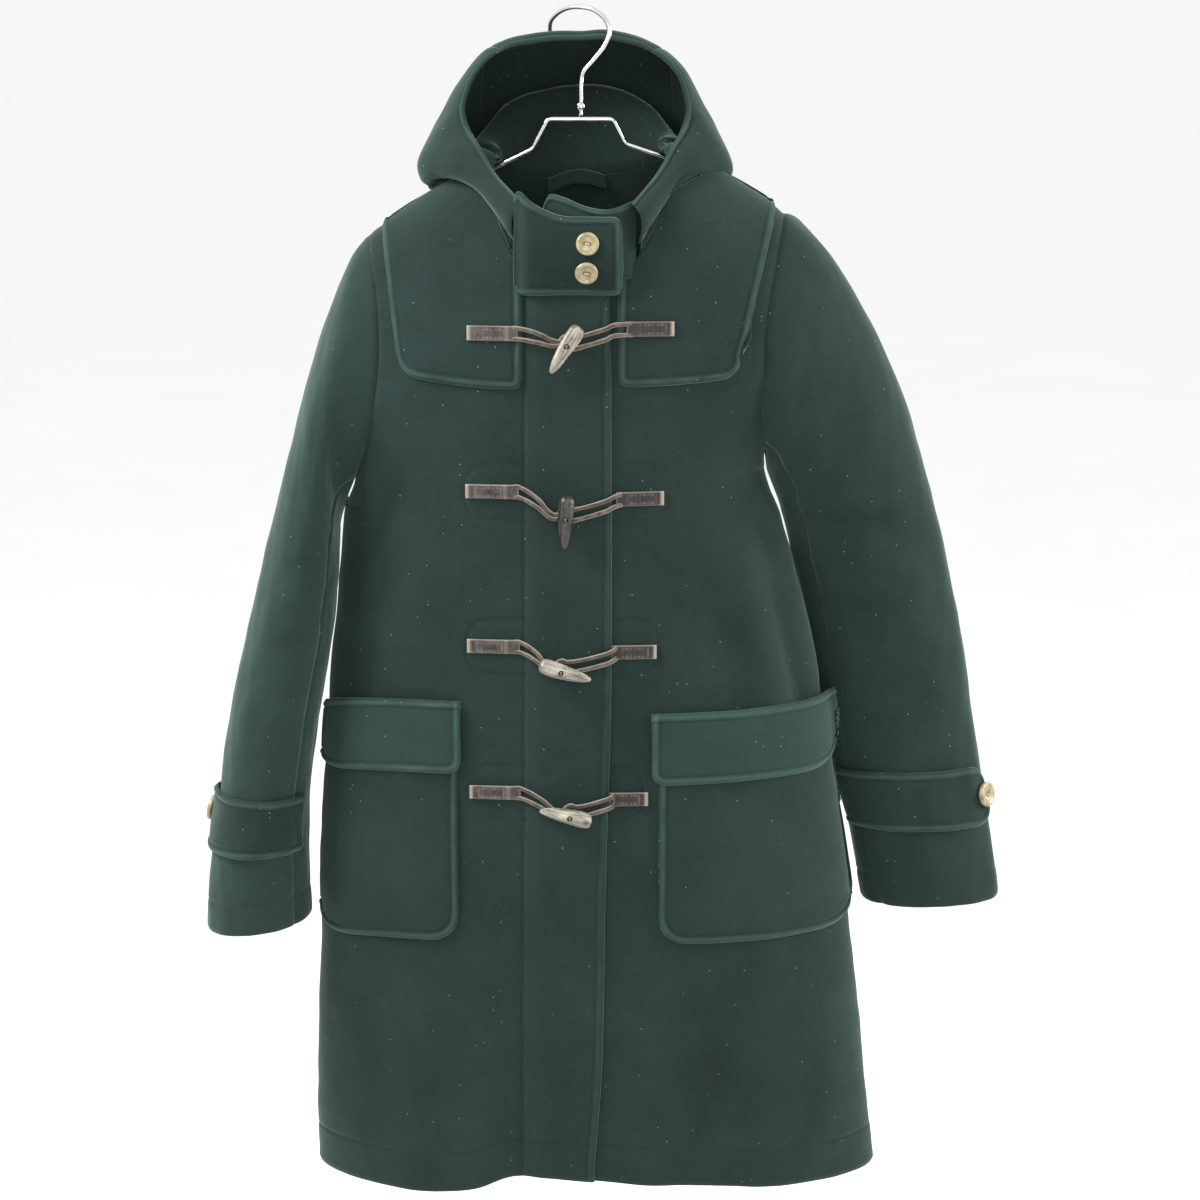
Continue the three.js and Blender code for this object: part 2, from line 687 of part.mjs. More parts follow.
function addFronts() {
  const topEdge = edgeX(frontEdge[4].z);
  const neckTops = [-79, -73, -63, lap.from, lap.to, -14, 6, 18, topEdge];
  const right = panel({
    face: "front",
    side: "left",
    tops: [...shoulderColumns(armholes.left.tip.x, 4), ...neckTops],
    lowX: (i, sideX, z) => {
      if (i <= stepColumn) return lerp(sideX, lap.from, (i / stepColumn) ** 1.3);
      return lerp(lap.to, edgeX(z), (i - stepColumn - 1) / strip);
    },
    place: (x, z) => onLap(x, z),
    trimTop: cornerDrop,
  });
  addCloth("front_right", right, seamGap);
  const neckSteps = 8;
  const round = range(neckSteps + 1).map((i) =>
    lerp(neck.half, underlapEdge, (1 - Math.cos((Math.PI * i) / neckSteps)) / 2),
  );
  const tops = [...shoulderColumns(armholes.right.tip.x, 4), ...round];
  const shares = sideShares(tops.length - 1);
  const left = panel({
    face: "front",
    side: "right",
    tops,
    lowX: (i, sideX) => lerp(sideX, underlapEdge, shares[i]),
    place: (x, z) => onBody(x, z, "front"),
  });
  addCloth("front_left", left, seamGap);
}

// The back is two half panels joined along the middle into one grid
function addBack() {
  const neckSteps = 4;
  const half = (side) => {
    const neckX = Math.sign(armholes[side].tip.x) * neck.half;
    const round = range(neckSteps + 1).map((i) => neckX * Math.cos((Math.PI * i) / neckSteps / 2));
    const tops = [...shoulderColumns(armholes[side].tip.x, 4), ...round];
    const shares = sideShares(tops.length - 1);
    return panel({
      face: "back",
      side,
      tops,
      lowX: (i, sideX) => lerp(sideX, 0, shares[i]),
      place: (x, z) => onBody(x, z, "back"),
    });
  };
  const left = half("left");
  const right = half("right");
  addCloth("back", left.map((row, i) => [...row, ...right[i].slice(0, -1).reverse()]), seamGap);
}

// Pieces that lie on the body

// A patch whose columns run from a bottom point to a top point, laid on a surface. Its rows lie closer
// towards the top, where the form closes over the shoulder.
const patch = ({ bottom, top, rows, place }) =>
  range(rows + 1).map((j) => {
    const t = 1 - (1 - j / rows) ** 2;
    return bottom.map((low, i) => place(lerp(low.x, top[i].x, t), lerp(low.z, top[i].z, t)));
  });

// Rise of a rounded corner of radius r at distance d from the side edge
const corner = (d, r) => (d >= r ? 0 : r - Math.sqrt(Math.max(0, r * r - (r - d) ** 2)));

const yokeOff = layerGap + cloth;

const yokeTrim = 0.9; // how far a yoke's top edge stays below the panel's

function addFrontYoke(side) {
  const yoke = yokes[side];
  const sign = side === "left" ? -1 : 1;
  const neckX = sign * neck.half;
  const place = side === "left" ? (x, z) => onLap(x, z, yokeOff) : (x, z) => onBody(x, z, "front", yokeOff);
  const width = Math.abs(yoke.outerLow - yoke.inner);
  const round = [0, 0.2, 0.6, 1.2].map((k) => k * yoke.corner);
  const flat = [0.42, 0.62, 0.82].map((k) => k * width);
  const steps = [...round, ...flat, width - yoke.innerCorner, width];
  const bottom = steps.map((d) => ({
    x: yoke.outerLow - sign * d,
    z: yoke.bottom + corner(d, yoke.corner) + corner(width - d, yoke.innerCorner),
  }));
  const shoulder = range(5).map((i) => lerp(yoke.outerTop, neckX, i / 4));
  const inward = range(4).map((i) => lerp(neckX, yoke.inner, (1 - Math.cos((Math.PI * (i + 1)) / 4)) / 2));
  const top = [...shoulder, ...inward].map((x) => ({ x, z: panelTop(x, "front") - yokeTrim }));
  addCloth("yoke_front_" + wearer[side], patch({ bottom, top, rows: 8, place }), 0, ["front_" + wearer[side]]);
}

function addBackYoke() {
  const { bottom, corner: radius, inset } = yokes.back;
  const from = yokes.left.outerTop;
  const to = yokes.right.outerTop;
  const tops = [
    ...range(3).map((i) => lerp(from, -neck.half, i / 3)),
    ...range(9).map((i) => -neck.half * Math.cos((Math.PI * i) / 8)),
    ...range(3).map((i) => lerp(neck.half, to, (i + 1) / 3)),
  ];
  const low = tops.map((x, i) => {
    const share = i / (tops.length - 1);
    const d = Math.min(share, 1 - share) * (to - from - 2 * inset);
    return { x: lerp(from + inset, to - inset, share), z: bottom + corner(d, radius) };
  });
  const grid = patch({
    bottom: low,
    top: tops.map((x) => ({ x, z: panelTop(x, "back") - yokeTrim })),
    rows: 8,
    place: (x, z) => onBody(x, z, "back", yokeOff),
  });
  addCloth("yoke_back", grid, 0, ["back"]);
}

// x on the body's front at an angle round it: 0 is the side line of that side, 90 the middle
function aroundX(side, angle, z) {
  const sign = side === "left" ? -1 : 1;
  return middle(z) + sign * halfWidth(side, z, "front") * Math.cos(radians(angle)) ** (2 / flatness.front);
}
function angleAt(side, x, z) {
  const share = clamp(Math.abs(across(x, z, "front")), 0, 1) ** (flatness.front / 2);
  return THREE.MathUtils.radToDeg(Math.acos(share));
}

// A piece laid round the body from an inner edge x to the pocket's end; `low` and `high` are z
function roundPatch({ side, inner, low, high, radius, steps, rows, off }) {
  const end = pocketEnd[wearer[side]];
  const sag = pocketSag[wearer[side]];
  const place = side === "left" ? (x, z) => onLap(x, z, off) : (x, z) => onBody(x, z, "front", off);
  return range(rows + 1).map((j) => {
    const t = j / rows;
    return range(steps + 1).map((i) => {
      const share = (1 - Math.cos((Math.PI * i) / steps)) / 2;
      const level = lerp(low, high, t);
      const angle = lerp(angleAt(side, inner, level), end, share);
      const x = aroundX(side, angle, level);
      const fromEdge = Math.min(Math.abs(x - inner), (1 - share) * 2.5 * radius);
      return place(x, lerp(low + corner(fromEdge, radius), high, t) - sag * share ** 2);
    });
  });
}

function addPocket(side) {
  const name = wearer[side];
  const p = pockets[name];
  const bag = roundPatch({
    side, inner: p.inner, low: p.bottom, high: p.flapBottom + flapOver, radius: p.corner,
    steps: 11, rows: 5, off: yokeOff,
  });
  addCloth("pocket_" + name, bag, 0, ["front_" + name]);
  const flap = roundPatch({
    side, inner: p.flapInner, low: p.flapBottom, high: p.flapTop, radius: flapCorner, steps: 11, rows: 3,
    off: 2 * yokeOff,
  });
  addCloth("pocket_flap_" + name, flap, 0, ["pocket_" + name, "sleeve_under_" + name]);
}

// The hood

// A smooth line through control points, as `count` even steps of its parameter
const throughPoints = (points, count) =>
  new THREE.CatmullRomCurve3(points, false, "centripetal").getPoints(count);

const stand = { off: 1, up: 9 }; // how the cloth leaves the neckline
const rootGap = 1;

// A point near the form is moved out until it is `gap` clear of it
function clearOfBody(p, gap) {
  for (const step of range(6)) {
    const face = p.y < 0 ? "front" : "back";
    const overPanel = p.z < panelTop(p.x, face) + gap;
    if (!overPanel) return p;
    const near = surfaceDistance(p, face);
    if (near >= gap) return p;
    p.addScaledVector(bodyNormal(p, face), (gap - near) * (step < 5 ? 0.8 : 1));
  }
  return p;
}

// Distance from the form, from the value and slope of its implicit function
function surfaceDistance(p, face) {
  const value = (x, y, z) =>
    depthSquared(x, z, face) * (Math.abs(across(x, z, face)) ** flatness[face] - 1) + y * y;
  const step = 0.5;
  const slope = V(
    value(p.x + step, p.y, p.z) - value(p.x - step, p.y, p.z),
    value(p.x, p.y + step, p.z) - value(p.x, p.y - step, p.z),
    value(p.x, p.y, p.z + step) - value(p.x, p.y, p.z - step),
  );
  return value(p.x, p.y, p.z) / (slope.length() / (2 * step));
}

function hoodLine(section, row, mirror) {
  const points = ["rim", "out", "fall", "belly", "low"].map((key) => V(...section[key]));
  const low = points[4];
  const ridge = V(...section.ridge);
  const turned = V(low.x * 0.96, low.y - pouch.thick, low.z + pouch.turn);
  points.push(row < pouch.from ? low.clone().lerp(ridge, pouch.flat) : turned, ridge);
  if (mirror) points.forEach((p) => (p.x *= -hoodRight));
  const x = mirror ? -section.neckX : section.neckX;
  const top = onBody(x, neckline(x, section.face), section.face);
  const up = V(0, 0, 1).addScaledVector(top.n, -top.n.z).normalize();
  const root = top.p.clone().addScaledVector(up, rootGap);
  const above = top.p.clone().addScaledVector(up, stand.up).addScaledVector(top.n, stand.off);
  const line = throughPoints([...points, above, root], hoodSteps.along);
  line.slice(hoodSteps.free, -2).forEach((p) => clearOfBody(p, yokeOff + 3));
  return line;
}

function hoodGrid() {
  const half = (mirror) => hoodSections.map((section, row) => hoodLine(section, row, mirror));
  const left = half(false);
  const right = half(true).slice(0, -1).reverse();
  return [...left, ...right];
}

function addHood() {
  const points = hoodGrid();
  const away = gridNormals(points);
  const top = away[8][3];
  const sign = top.y + top.z > 0 ? 1 : -1;
  const grid = points.map((row, i) => row.map((p, j) => ({ p, n: away[i][j].multiplyScalar(sign) })));
  const cut = (fromRow, toRow, fromStep, toStep) =>
    grid.slice(fromRow, toRow + 1).map((row) => row.slice(fromStep, toStep + 1));
  const last = hoodSteps.along;
  const rows = grid.length - 1;
  const sideEnd = hoodSteps.sideRows;
  const onNeck = (side) => ["back", "front_" + side, "yoke_back", "yoke_front_" + side];
  addCloth("neck_band_right", cut(0, bandRows, bandFrom, last), seamGap, onNeck("right"));
  addCloth("neck_band_left", cut(rows - bandRows, rows, bandFrom, last), seamGap, onNeck("left"));
  const besideRight = [...onNeck("right"), "neck_band_right"];
  const besideLeft = [...onNeck("left"), "neck_band_left"];
  addCloth("hood_side_right", sideShape(grid, sideEnd, last), seamGap, besideRight);
  addCloth("hood_side_left", sideShape([...grid].reverse(), sideEnd, last), seamGap, besideLeft);
  const between = ["back", "yoke_back", "hood_side_right", "hood_side_left"];
  addCloth("hood_centre", cut(sideEnd, rows - sideEnd, 0, last), seamGap, between);
}

// A hood side: its lower rows stop where the neck band begins, the rest run to the neckline
function sideShape(grid, sideEnd, last) {
  return grid.slice(0, sideEnd + 1).map((row, i) => {
    if (i > bandRows) return row.slice(0, last + 1);
    return range(last + 1).map((k) => {
      const at = (k / last) * bandFrom;
      const low = Math.min(Math.floor(at), bandFrom - 1);
      const t = at - low;
      return {
        p: row[low].p.clone().lerp(row[low + 1].p, t),
        n: row[low].n.clone().lerp(row[low + 1].n, t).normalize(),
      };
    });
  });
}

// The throat

function addThroatTab() {
  const { left, right, profile, corner: radius, slant } = throatTab;
  const width = right - left;
  const shares = [0, 0.2, 0.4, 0.6, 0.78, 0.9, 0.97, 1];
  const high = profile[0].z;
  const low = profile[profile.length - 1].z;
  const grid = profile.map((row) =>
    shares.map((share) => {
      const pinch = corner(width * (1 - share), radius);
      const z = clamp(row.z, low + pinch * 0.6, high - pinch);
      const climb = slant.rise * (Math.max(0, slant.reach - share) / slant.reach) ** 2;
      return V(left + width * share, smooth(profile, "y", "z", z), z + climb * ((z - low) / (high - low)));
    }),
  );
  const away = gridNormals(grid);
  const sign = away[2][3].y < 0 ? 1 : -1;
  addCloth("throat_tab", withNormals(grid, away, sign), 0, ["neck_band_right", "hood_side_right"]);
}

const withNormals = (points, away, sign) =>
  points.map((row, i) => row.map((p, j) => ({ p, n: away[i][j].multiplyScalar(sign) })));

function addUnderTab() {
  const columns = underTab.map((row) => [V(row.x, row.topY, row.topZ), V(row.x, row.lowY, row.lowZ)]);
  const grid = range(4).map((j) => columns.map(([high, low]) => high.clone().lerp(low, j / 3)));
  const away = gridNormals(grid);
  const sign = away[1][3].y < 0 ? 1 : -1;
  addCloth("under_tab", withNormals(grid, away, sign), 0, ["throat_tab", "neck_band_left", "hood_side_left"]);
}

// Buttons

// A round button with two holes, its back on `seat` and its face along `out`
function button({ diameter, thickness }, seat, out) {
  const shape = new THREE.Shape().absarc(0, 0, diameter / 2 - buttonBevel, 0, Math.PI * 2);
  for (const sign of [-1, 1]) {
    const at = (sign * buttonHole.apart) / 2;
    const hole = new THREE.Path().absarc(at, 0, buttonHole.diameter / 2, 0, Math.PI * 2);
    shape.holes.push(hole);
  }
  const geometry = new THREE.ExtrudeGeometry(shape, {
    depth: thickness - 2 * buttonBevel,
    bevelThickness: buttonBevel,
    bevelSize: buttonBevel,
    bevelSegments: 1,
    curveSegments: 9,
  });
  geometry.translate(0, 0, buttonBevel);
  geometry.applyQuaternion(new THREE.Quaternion().setFromUnitVectors(V(0, 0, 1), out.clone().normalize()));
  geometry.translate(seat.x, seat.y, seat.z);
  return geometry;
}

function addTabButtons() {
  for (const [name, { x, y, z, down }] of Object.entries(tabButtons)) {
    add("tab_button_" + name, button(tabButton, V(x, y, z), V(0, -1, -down)), vegetableIvory());
  }
}

// Cuff straps, which run round the sleeve and end rounded under a button

// A point on a sleeve where its outer edge has the height `level`
function cuffPoint(side, level, angle, off) {
  const rows = sleeveSections[side];
  const point = (height, turn) => {
    const at = (key) => smooth(rows, key, "outerZ", height);
    const c = Math.cos(radians(turn));
    const sine = Math.sin(radians(turn));
    const depth = at(sine > 0 ? "front" : "back");
    const reach = V(at("outerX") - at("innerX"), 0, height - at("innerZ")).multiplyScalar(0.5);
    return V(at("outerX"), at("midY"), height).addScaledVector(reach, c - 1).add(V(0, -depth * sine, 0));
  };
  const p = point(level, angle);
  const round = point(level, angle + 1).sub(point(level, angle - 1));
  const up = point(level + 1, angle).sub(point(level - 1, angle));
  const n = round.cross(up).normalize();
  if (side === "right") n.negate();
  return { p: p.addScaledVector(n, off), n };
}

function addCuffStrap(side) {
  const strap = cuffStraps[side];
  const columns = 15;
  const radius = (strap.high - strap.low) / 2;
  const grid = range(5).map((j) =>
    range(columns + 1).map((i) => {
      const share = i / columns;
      const angle = lerp(strap.from, strap.to, share);
      const fromEnd = (Math.abs(angle - strap.to) / strapEnd) * radius;
      const drawIn = corner(fromEnd, radius) * 0.8;
      return cuffPoint(side, lerp(strap.low + drawIn, strap.high - drawIn, j / 4), angle, strapOff);
    }),
  );
  addCloth("cuff_strap_" + wearer[side], grid, 0, ["sleeve_top_" + wearer[side]]);
  const spot = cuffPoint(side, (strap.low + strap.high) / 2, strap.buttonAt, strapOff + layerGap);
  add("cuff_button_" + wearer[side], button(cuffButton, spot.p, spot.n), vegetableIvory());
}

// Toggles with their leather tabs, cords and loops

// A round rod through points, mitred at each one
function tube(points, diameter, sides = 6) {
  const last = points.length - 1;
  let sideways = null;
  const rings = points.map((p, i) => {
    const before = p.clone().sub(points[Math.max(i - 1, 0)]).normalize();
    const after = points[Math.min(i + 1, last)].clone().sub(p).normalize();
    const along = before.clone().add(after).normalize();
    if (!sideways) sideways = Math.abs(along.y) < 0.9 ? V(0, 1, 0) : V(1, 0, 0);
    sideways = sideways.clone().addScaledVector(along, -sideways.dot(along)).normalize();
    const other = along.clone().cross(sideways);
    return range(sides).map((k) => {
      const angle = (2 * Math.PI * k) / sides;
      const out = sideways.clone().multiplyScalar(Math.cos(angle)).addScaledVector(other, Math.sin(angle));
      return p.clone().addScaledVector(out, diameter / 2);
    });
  });
  const index = [];
  const at = (i, k) => i * sides + ((k + sides) % sides);
  for (const i of range(last)) {
    for (const k of range(sides)) {
      index.push(at(i, k), at(i, k + 1), at(i + 1, k + 1), at(i, k), at(i + 1, k + 1), at(i + 1, k));
    }
  }
  for (const k of range(sides - 2)) {
    index.push(at(0, 0), at(0, k + 2), at(0, k + 1), at(last, 0), at(last, k + 1), at(last, k + 2));
  }
  return closed(rings.flat(), index);
}

const cordSolid = (points, steps) => solid(tube(throughPoints(points, steps), cord));

// A leather tab laid on the coat from x = from to x = to at height z
function tabSolid({ from, to, z }, place, off) {
  const grid = [-1, 0, 1].map((k) =>
    range(4).map((i) => place(lerp(from, to, i / 3), z + (k * tabHeight) / 2, off + tape)),
  );
  return solid(wall(grid, tape, 0));
}

// The toggle lies along the line from its thick end to its tip, and its hole runs through to the coat
function toggleSolid(thick, tip, y) {
  const { length, hole, holeAt } = toggle;
  const profile = [
    new THREE.Vector2(0, 0),
    ...toggleProfile.map((row) => new THREE.Vector2(row.radius, row.along)),
    new THREE.Vector2(0, length),
  ];
  const body = solid(new THREE.LatheGeometry(profile, 12).rotateX(Math.PI / 2));
  const bore = new THREE.CylinderGeometry(hole / 2, hole / 2, 4 * toggle.radius, 8);
  bore.translate(0, 0, length * holeAt);
  const outward = V(0, -1, 0);
  const along = V(tip.x - thick.x, 0, tip.z - thick.z).normalize();
  const basis = new THREE.Matrix4().makeBasis(outward.clone().cross(along), outward, along);
  const geometry = geometryOf(body.subtract(solid(bore))).applyMatrix4(basis);
  geometry.translate(thick.x, y, thick.z);
  return geometry;
}

// Heights over the lap: a cord that lies on it, a cord that crosses that one, the middle of a toggle
const cordLow = 0.7 + cord / 2;
const cordHigh = cordLow + cord + 0.5;
const toggleMiddle = cordHigh + cord / 2 + 0.5 + toggle.radius;
const tabLift = 0.6;

function addToggles() {
  toggleRows.forEach((row, index) => {
    const number = index + 1;
    const onYoke = index === 0 ? yokeOff : 0;
    const leftPlace = (x, z, off) => onLap(x, z, off + onYoke);
    const rightPlace = (x, z, off) => onBody(x, z, "front", off + onYoke);
    const overLap = (x, z, off) => onLap(Math.min(x, edgeX(z)), z, off).p.setX(x);
    const axis = V(row.tip.x - row.thick.x, 0, row.tip.z - row.thick.z).normalize();
    const hole = V(row.thick.x, 0, row.thick.z).addScaledVector(axis, toggle.length * toggle.holeAt);
    const centre = overLap(hole.x, hole.z, toggleMiddle);
    const under = overLap(hole.x, hole.z, cordHigh);
    const stem = solid(tube([V(hole.x, under.y, hole.z), V(hole.x, centre.y, hole.z)], cord));
    add("toggle_" + number, toggleSolid(row.thick, row.tip, centre.y), horn(index === 1 ? hornDark : hornGrey));
    const half = tabHeight / 2 - cord / 2;
    const onTab = tabLift + tape / 2;
    const { left, right } = row;
    const cords = [half, -half].map((dz) =>
      cordSolid([
        leftPlace(left.to - tabGrip, left.z + dz, onTab).p,
        leftPlace(left.to, left.z + dz, onTab + 0.8).p,
        overLap(lerp(left.to, hole.x, 0.4), lerp(left.z, hole.z, 0.4) + dz * 0.85, cordHigh + onYoke * 0.5),
        overLap(hole.x - 12, hole.z + dz * 0.5, cordHigh),
        under.clone().add(V(0, 0, Math.sign(dz) * cordApart)),
      ], 8),
    );
    const leftTab = tabSolid(left, leftPlace, tabLift);
    const joinedCord = [...cords, stem].reduce((sum, c) => sum.add(c), leftTab);
    add("toggle_cord_" + number, geometryOf(joinedCord), leather());
    const edge = edgeX(right.z);
    const loop = cordSolid([
      rightPlace(right.from + tabGrip, right.z + half, onTab).p,
      overLap(edge + 3, lerp(right.z, hole.z, 0.1) + half, cordLow + 0.8),
      overLap(edge - 3, lerp(right.z, hole.z, 0.35) + half, cordLow + 0.3),
      overLap(hole.x + loopEye, hole.z + loopEye * 0.8, cordLow),
      overLap(hole.x, hole.z + loopEye, cordLow),
      overLap(hole.x - loopEye, hole.z, cordLow),
      overLap(hole.x, hole.z - loopEye, cordLow),
      overLap(hole.x + loopEye, hole.z - loopEye * 0.8, cordLow),
      overLap(edge - 3, lerp(right.z, hole.z, 0.35) - half, cordLow + 0.3),
      overLap(edge + 3, lerp(right.z, hole.z, 0.1) - half, cordLow + 0.8),
      rightPlace(right.from + tabGrip, right.z - half, onTab).p,
    ], 26);
    const rightTab = tabSolid(right, rightPlace, tabLift);
    add("toggle_loop_" + number, geometryOf(loop.add(rightTab)), leather());
  });
}

// The hanging loop at the back of the neck

function addHangingLoop() {
  const { from, to, width, rise, lean } = hangingLoop;
  const grid = [0, 1].map((k) =>
    range(11).map((i) => {
      const share = i / 10;
      const x = lerp(from, to, share);
      const arch = Math.sin(Math.PI * share);
      const seat = onBody(x, neckline(x, "back") - 2, "back", -cloth - layerGap).p;
      return V(x, seat.y - 0.6 - lean * arch, seat.z + rise * arch - width * k + 2);
    }),
  );
  const away = gridNormals(grid);
  const sign = away[0][4].y > 0 ? 1 : -1;
  add("hanging_loop", wall(withNormals(grid, away, sign), tape, 0), wool());
}

// The wire hanger

// A route whose corners are rounded to `radius`
function rounded(points, radius, steps = 4) {
  const route = [points[0]];
  points.slice(1, -1).forEach((p, i) => {
    const before = points[i].clone().sub(p).normalize();
    const after = points[i + 2].clone().sub(p).normalize();
    const reach = radius / Math.tan(before.angleTo(after) / 2);
    const curve = new THREE.QuadraticBezierCurve3(
      p.clone().addScaledVector(before, reach), p, p.clone().addScaledVector(after, reach),
    );
    route.push(...curve.getPoints(steps));
  });
  return [...route, points[points.length - 1]];
}

function addHanger() {
  const { x, y, low, ball, ballZ } = shank;
  const bend = throughPoints(hookRoute.map((p) => V(...p)), 40);
  const hook = solid(tube([...bend, V(x, y, low)], wire, 8));
  const bead = solid(new THREE.SphereGeometry(ball, 10, 8).translate(x, y, ballZ));
  add("hanger_hook", geometryOf(hook.add(bead)), steel());
  const arm = (side) => {
    const columns = shoulderColumns(armholes[side].tip.x, 4);
    const under = cloth + 1.5 * layerGap + wire / 2;
    const bearing = [columns[3], columns[1]].map((at) => V(at, 0, crest(at) - under));
    return [V(bar[side], bar.y, bar.z), V(knee[side].x, knee.y, knee[side].z), ...bearing];
  };
  const route = rounded([...arm("left").reverse(), ...arm("right")], frameBend);
  add("hanger_frame", tube(route, wire, 8), steel());
}

addBack();
addFronts();
for (const side of ["left", "right"]) {
  addSleeves(side);
  addFrontYoke(side);
  addPocket(side);
  addCuffStrap(side);
}
addBackYoke();
addHood();
addThroatTab();
addUnderTab();
addTabButtons();
addToggles();
addHangingLoop();
addHanger();

export default parts;
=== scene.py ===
"""A bottle-green duffle coat of melton wool on a wire hanger, buttoned up.

Sizes are in millimetres and become metres when a mesh is made. The front faces -Y, +X is the wearer's left
and the origin is the inside top of the hanger's hook.
"""

import math

import bpy
import numpy as np
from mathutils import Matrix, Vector
from mathutils.kdtree import KDTree


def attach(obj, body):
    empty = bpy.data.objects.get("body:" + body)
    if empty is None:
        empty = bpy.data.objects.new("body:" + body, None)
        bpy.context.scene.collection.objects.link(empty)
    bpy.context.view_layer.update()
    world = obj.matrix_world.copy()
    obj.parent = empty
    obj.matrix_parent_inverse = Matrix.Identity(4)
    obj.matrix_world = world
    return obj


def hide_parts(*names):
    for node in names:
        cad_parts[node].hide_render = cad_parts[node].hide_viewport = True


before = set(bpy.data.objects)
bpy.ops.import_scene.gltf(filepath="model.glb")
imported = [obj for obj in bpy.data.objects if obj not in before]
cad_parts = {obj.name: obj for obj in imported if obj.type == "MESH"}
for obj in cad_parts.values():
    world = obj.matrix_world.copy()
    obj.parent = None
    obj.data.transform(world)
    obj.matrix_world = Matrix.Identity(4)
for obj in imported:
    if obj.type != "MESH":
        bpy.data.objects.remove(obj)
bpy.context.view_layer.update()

MM = 0.001


def columns(names, *rows):
    """A table as arrays, one for each named column."""
    return dict(zip(names.split(), np.array(rows, float).T))


# Sizes of the coat, as in the CAD

CLOTH = 3.0
TAPE = 2.0
LAYER_GAP = 0.8
ON_BODY = CLOTH + LAYER_GAP  # how far a piece's face lies over the piece that it is sewn to

BODY = columns(
    "z left right front back",
    (-1082, -254, 282, 90, 84),
    (-1008, -253, 273, 92, 84),
    (-926, -250, 264, 93, 83),
    (-845, -246, 254, 93, 81),
    (-765, -243, 243, 92, 79),
    (-687, -238, 230, 90, 77),
    (-610, -232, 221, 87, 75),
    (-533, -221, 203, 84, 73),
    (-439, -213, 177, 82, 72),
    (-406, -211, 168, 82, 72),
    (-180, -193, 186, 82, 72),
)
FLATNESS = {"front": 2.6, "back": 2.4}
HEM = columns(
    "x z",
    (-254, -1083),
    (-140, -1085),
    (-100, -1080),
    (-60, -1066),
    (12, -1070),
    (56, -1073),
    (142, -1078),
    (282, -1084),
)
BACK_HEM = -1083.0
SHOULDER = columns(
    "x z",
    (-189, -197),
    (-141, -166),
    (-78, -131),
    (0, -96),
    (80, -121),
    (128, -144),
    (182, -177),
)
NECK = {"half": 79.0, "front": 112.0, "back": 24.0, "bulge": 2.1}
ARMHOLES = {
    "left": {"tip": (-189, -197), "under": (-213, -439), "front": 62, "back": 56, "scoop": 22},
    "right": {"tip": (182, -177), "under": (168, -406), "front": 62, "back": 56, "scoop": -12},
}
SLEEVE_REACH = 0.97
EASE_IN = 110.0
FRONT_EDGE = columns("z x", (-1070, 12), (-964, 19), (-792, 22), (-603, 27), (-236, 26))
LAP = {"rise": 4.0, "low": -50.0, "high": -40.0, "corner": 17.0}
UNDERLAP_EDGE = -30.0

# Soft folds that fall to the hem: place, slant, width, depth and where they start
FOLDS = {
    "front": columns(
        "x lean width depth start",
        (-175, 14, 34, 5.0, -700),
        (-104, 6, 22, 2.2, -850),
        (66, -6, 30, 4.0, -760),
        (168, 16, 40, 7.0, -640),
        (228, 20, 22, 3.0, -820),
    ),
    "back": columns(
        "x lean width depth start",
        (-150, -20, 44, 9.0, -520),
        (-20, 6, 50, 7.0, -600),
        (60, 8, 26, 3.0, -800),
        (120, 22, 46, 10.0, -500),
    ),
}

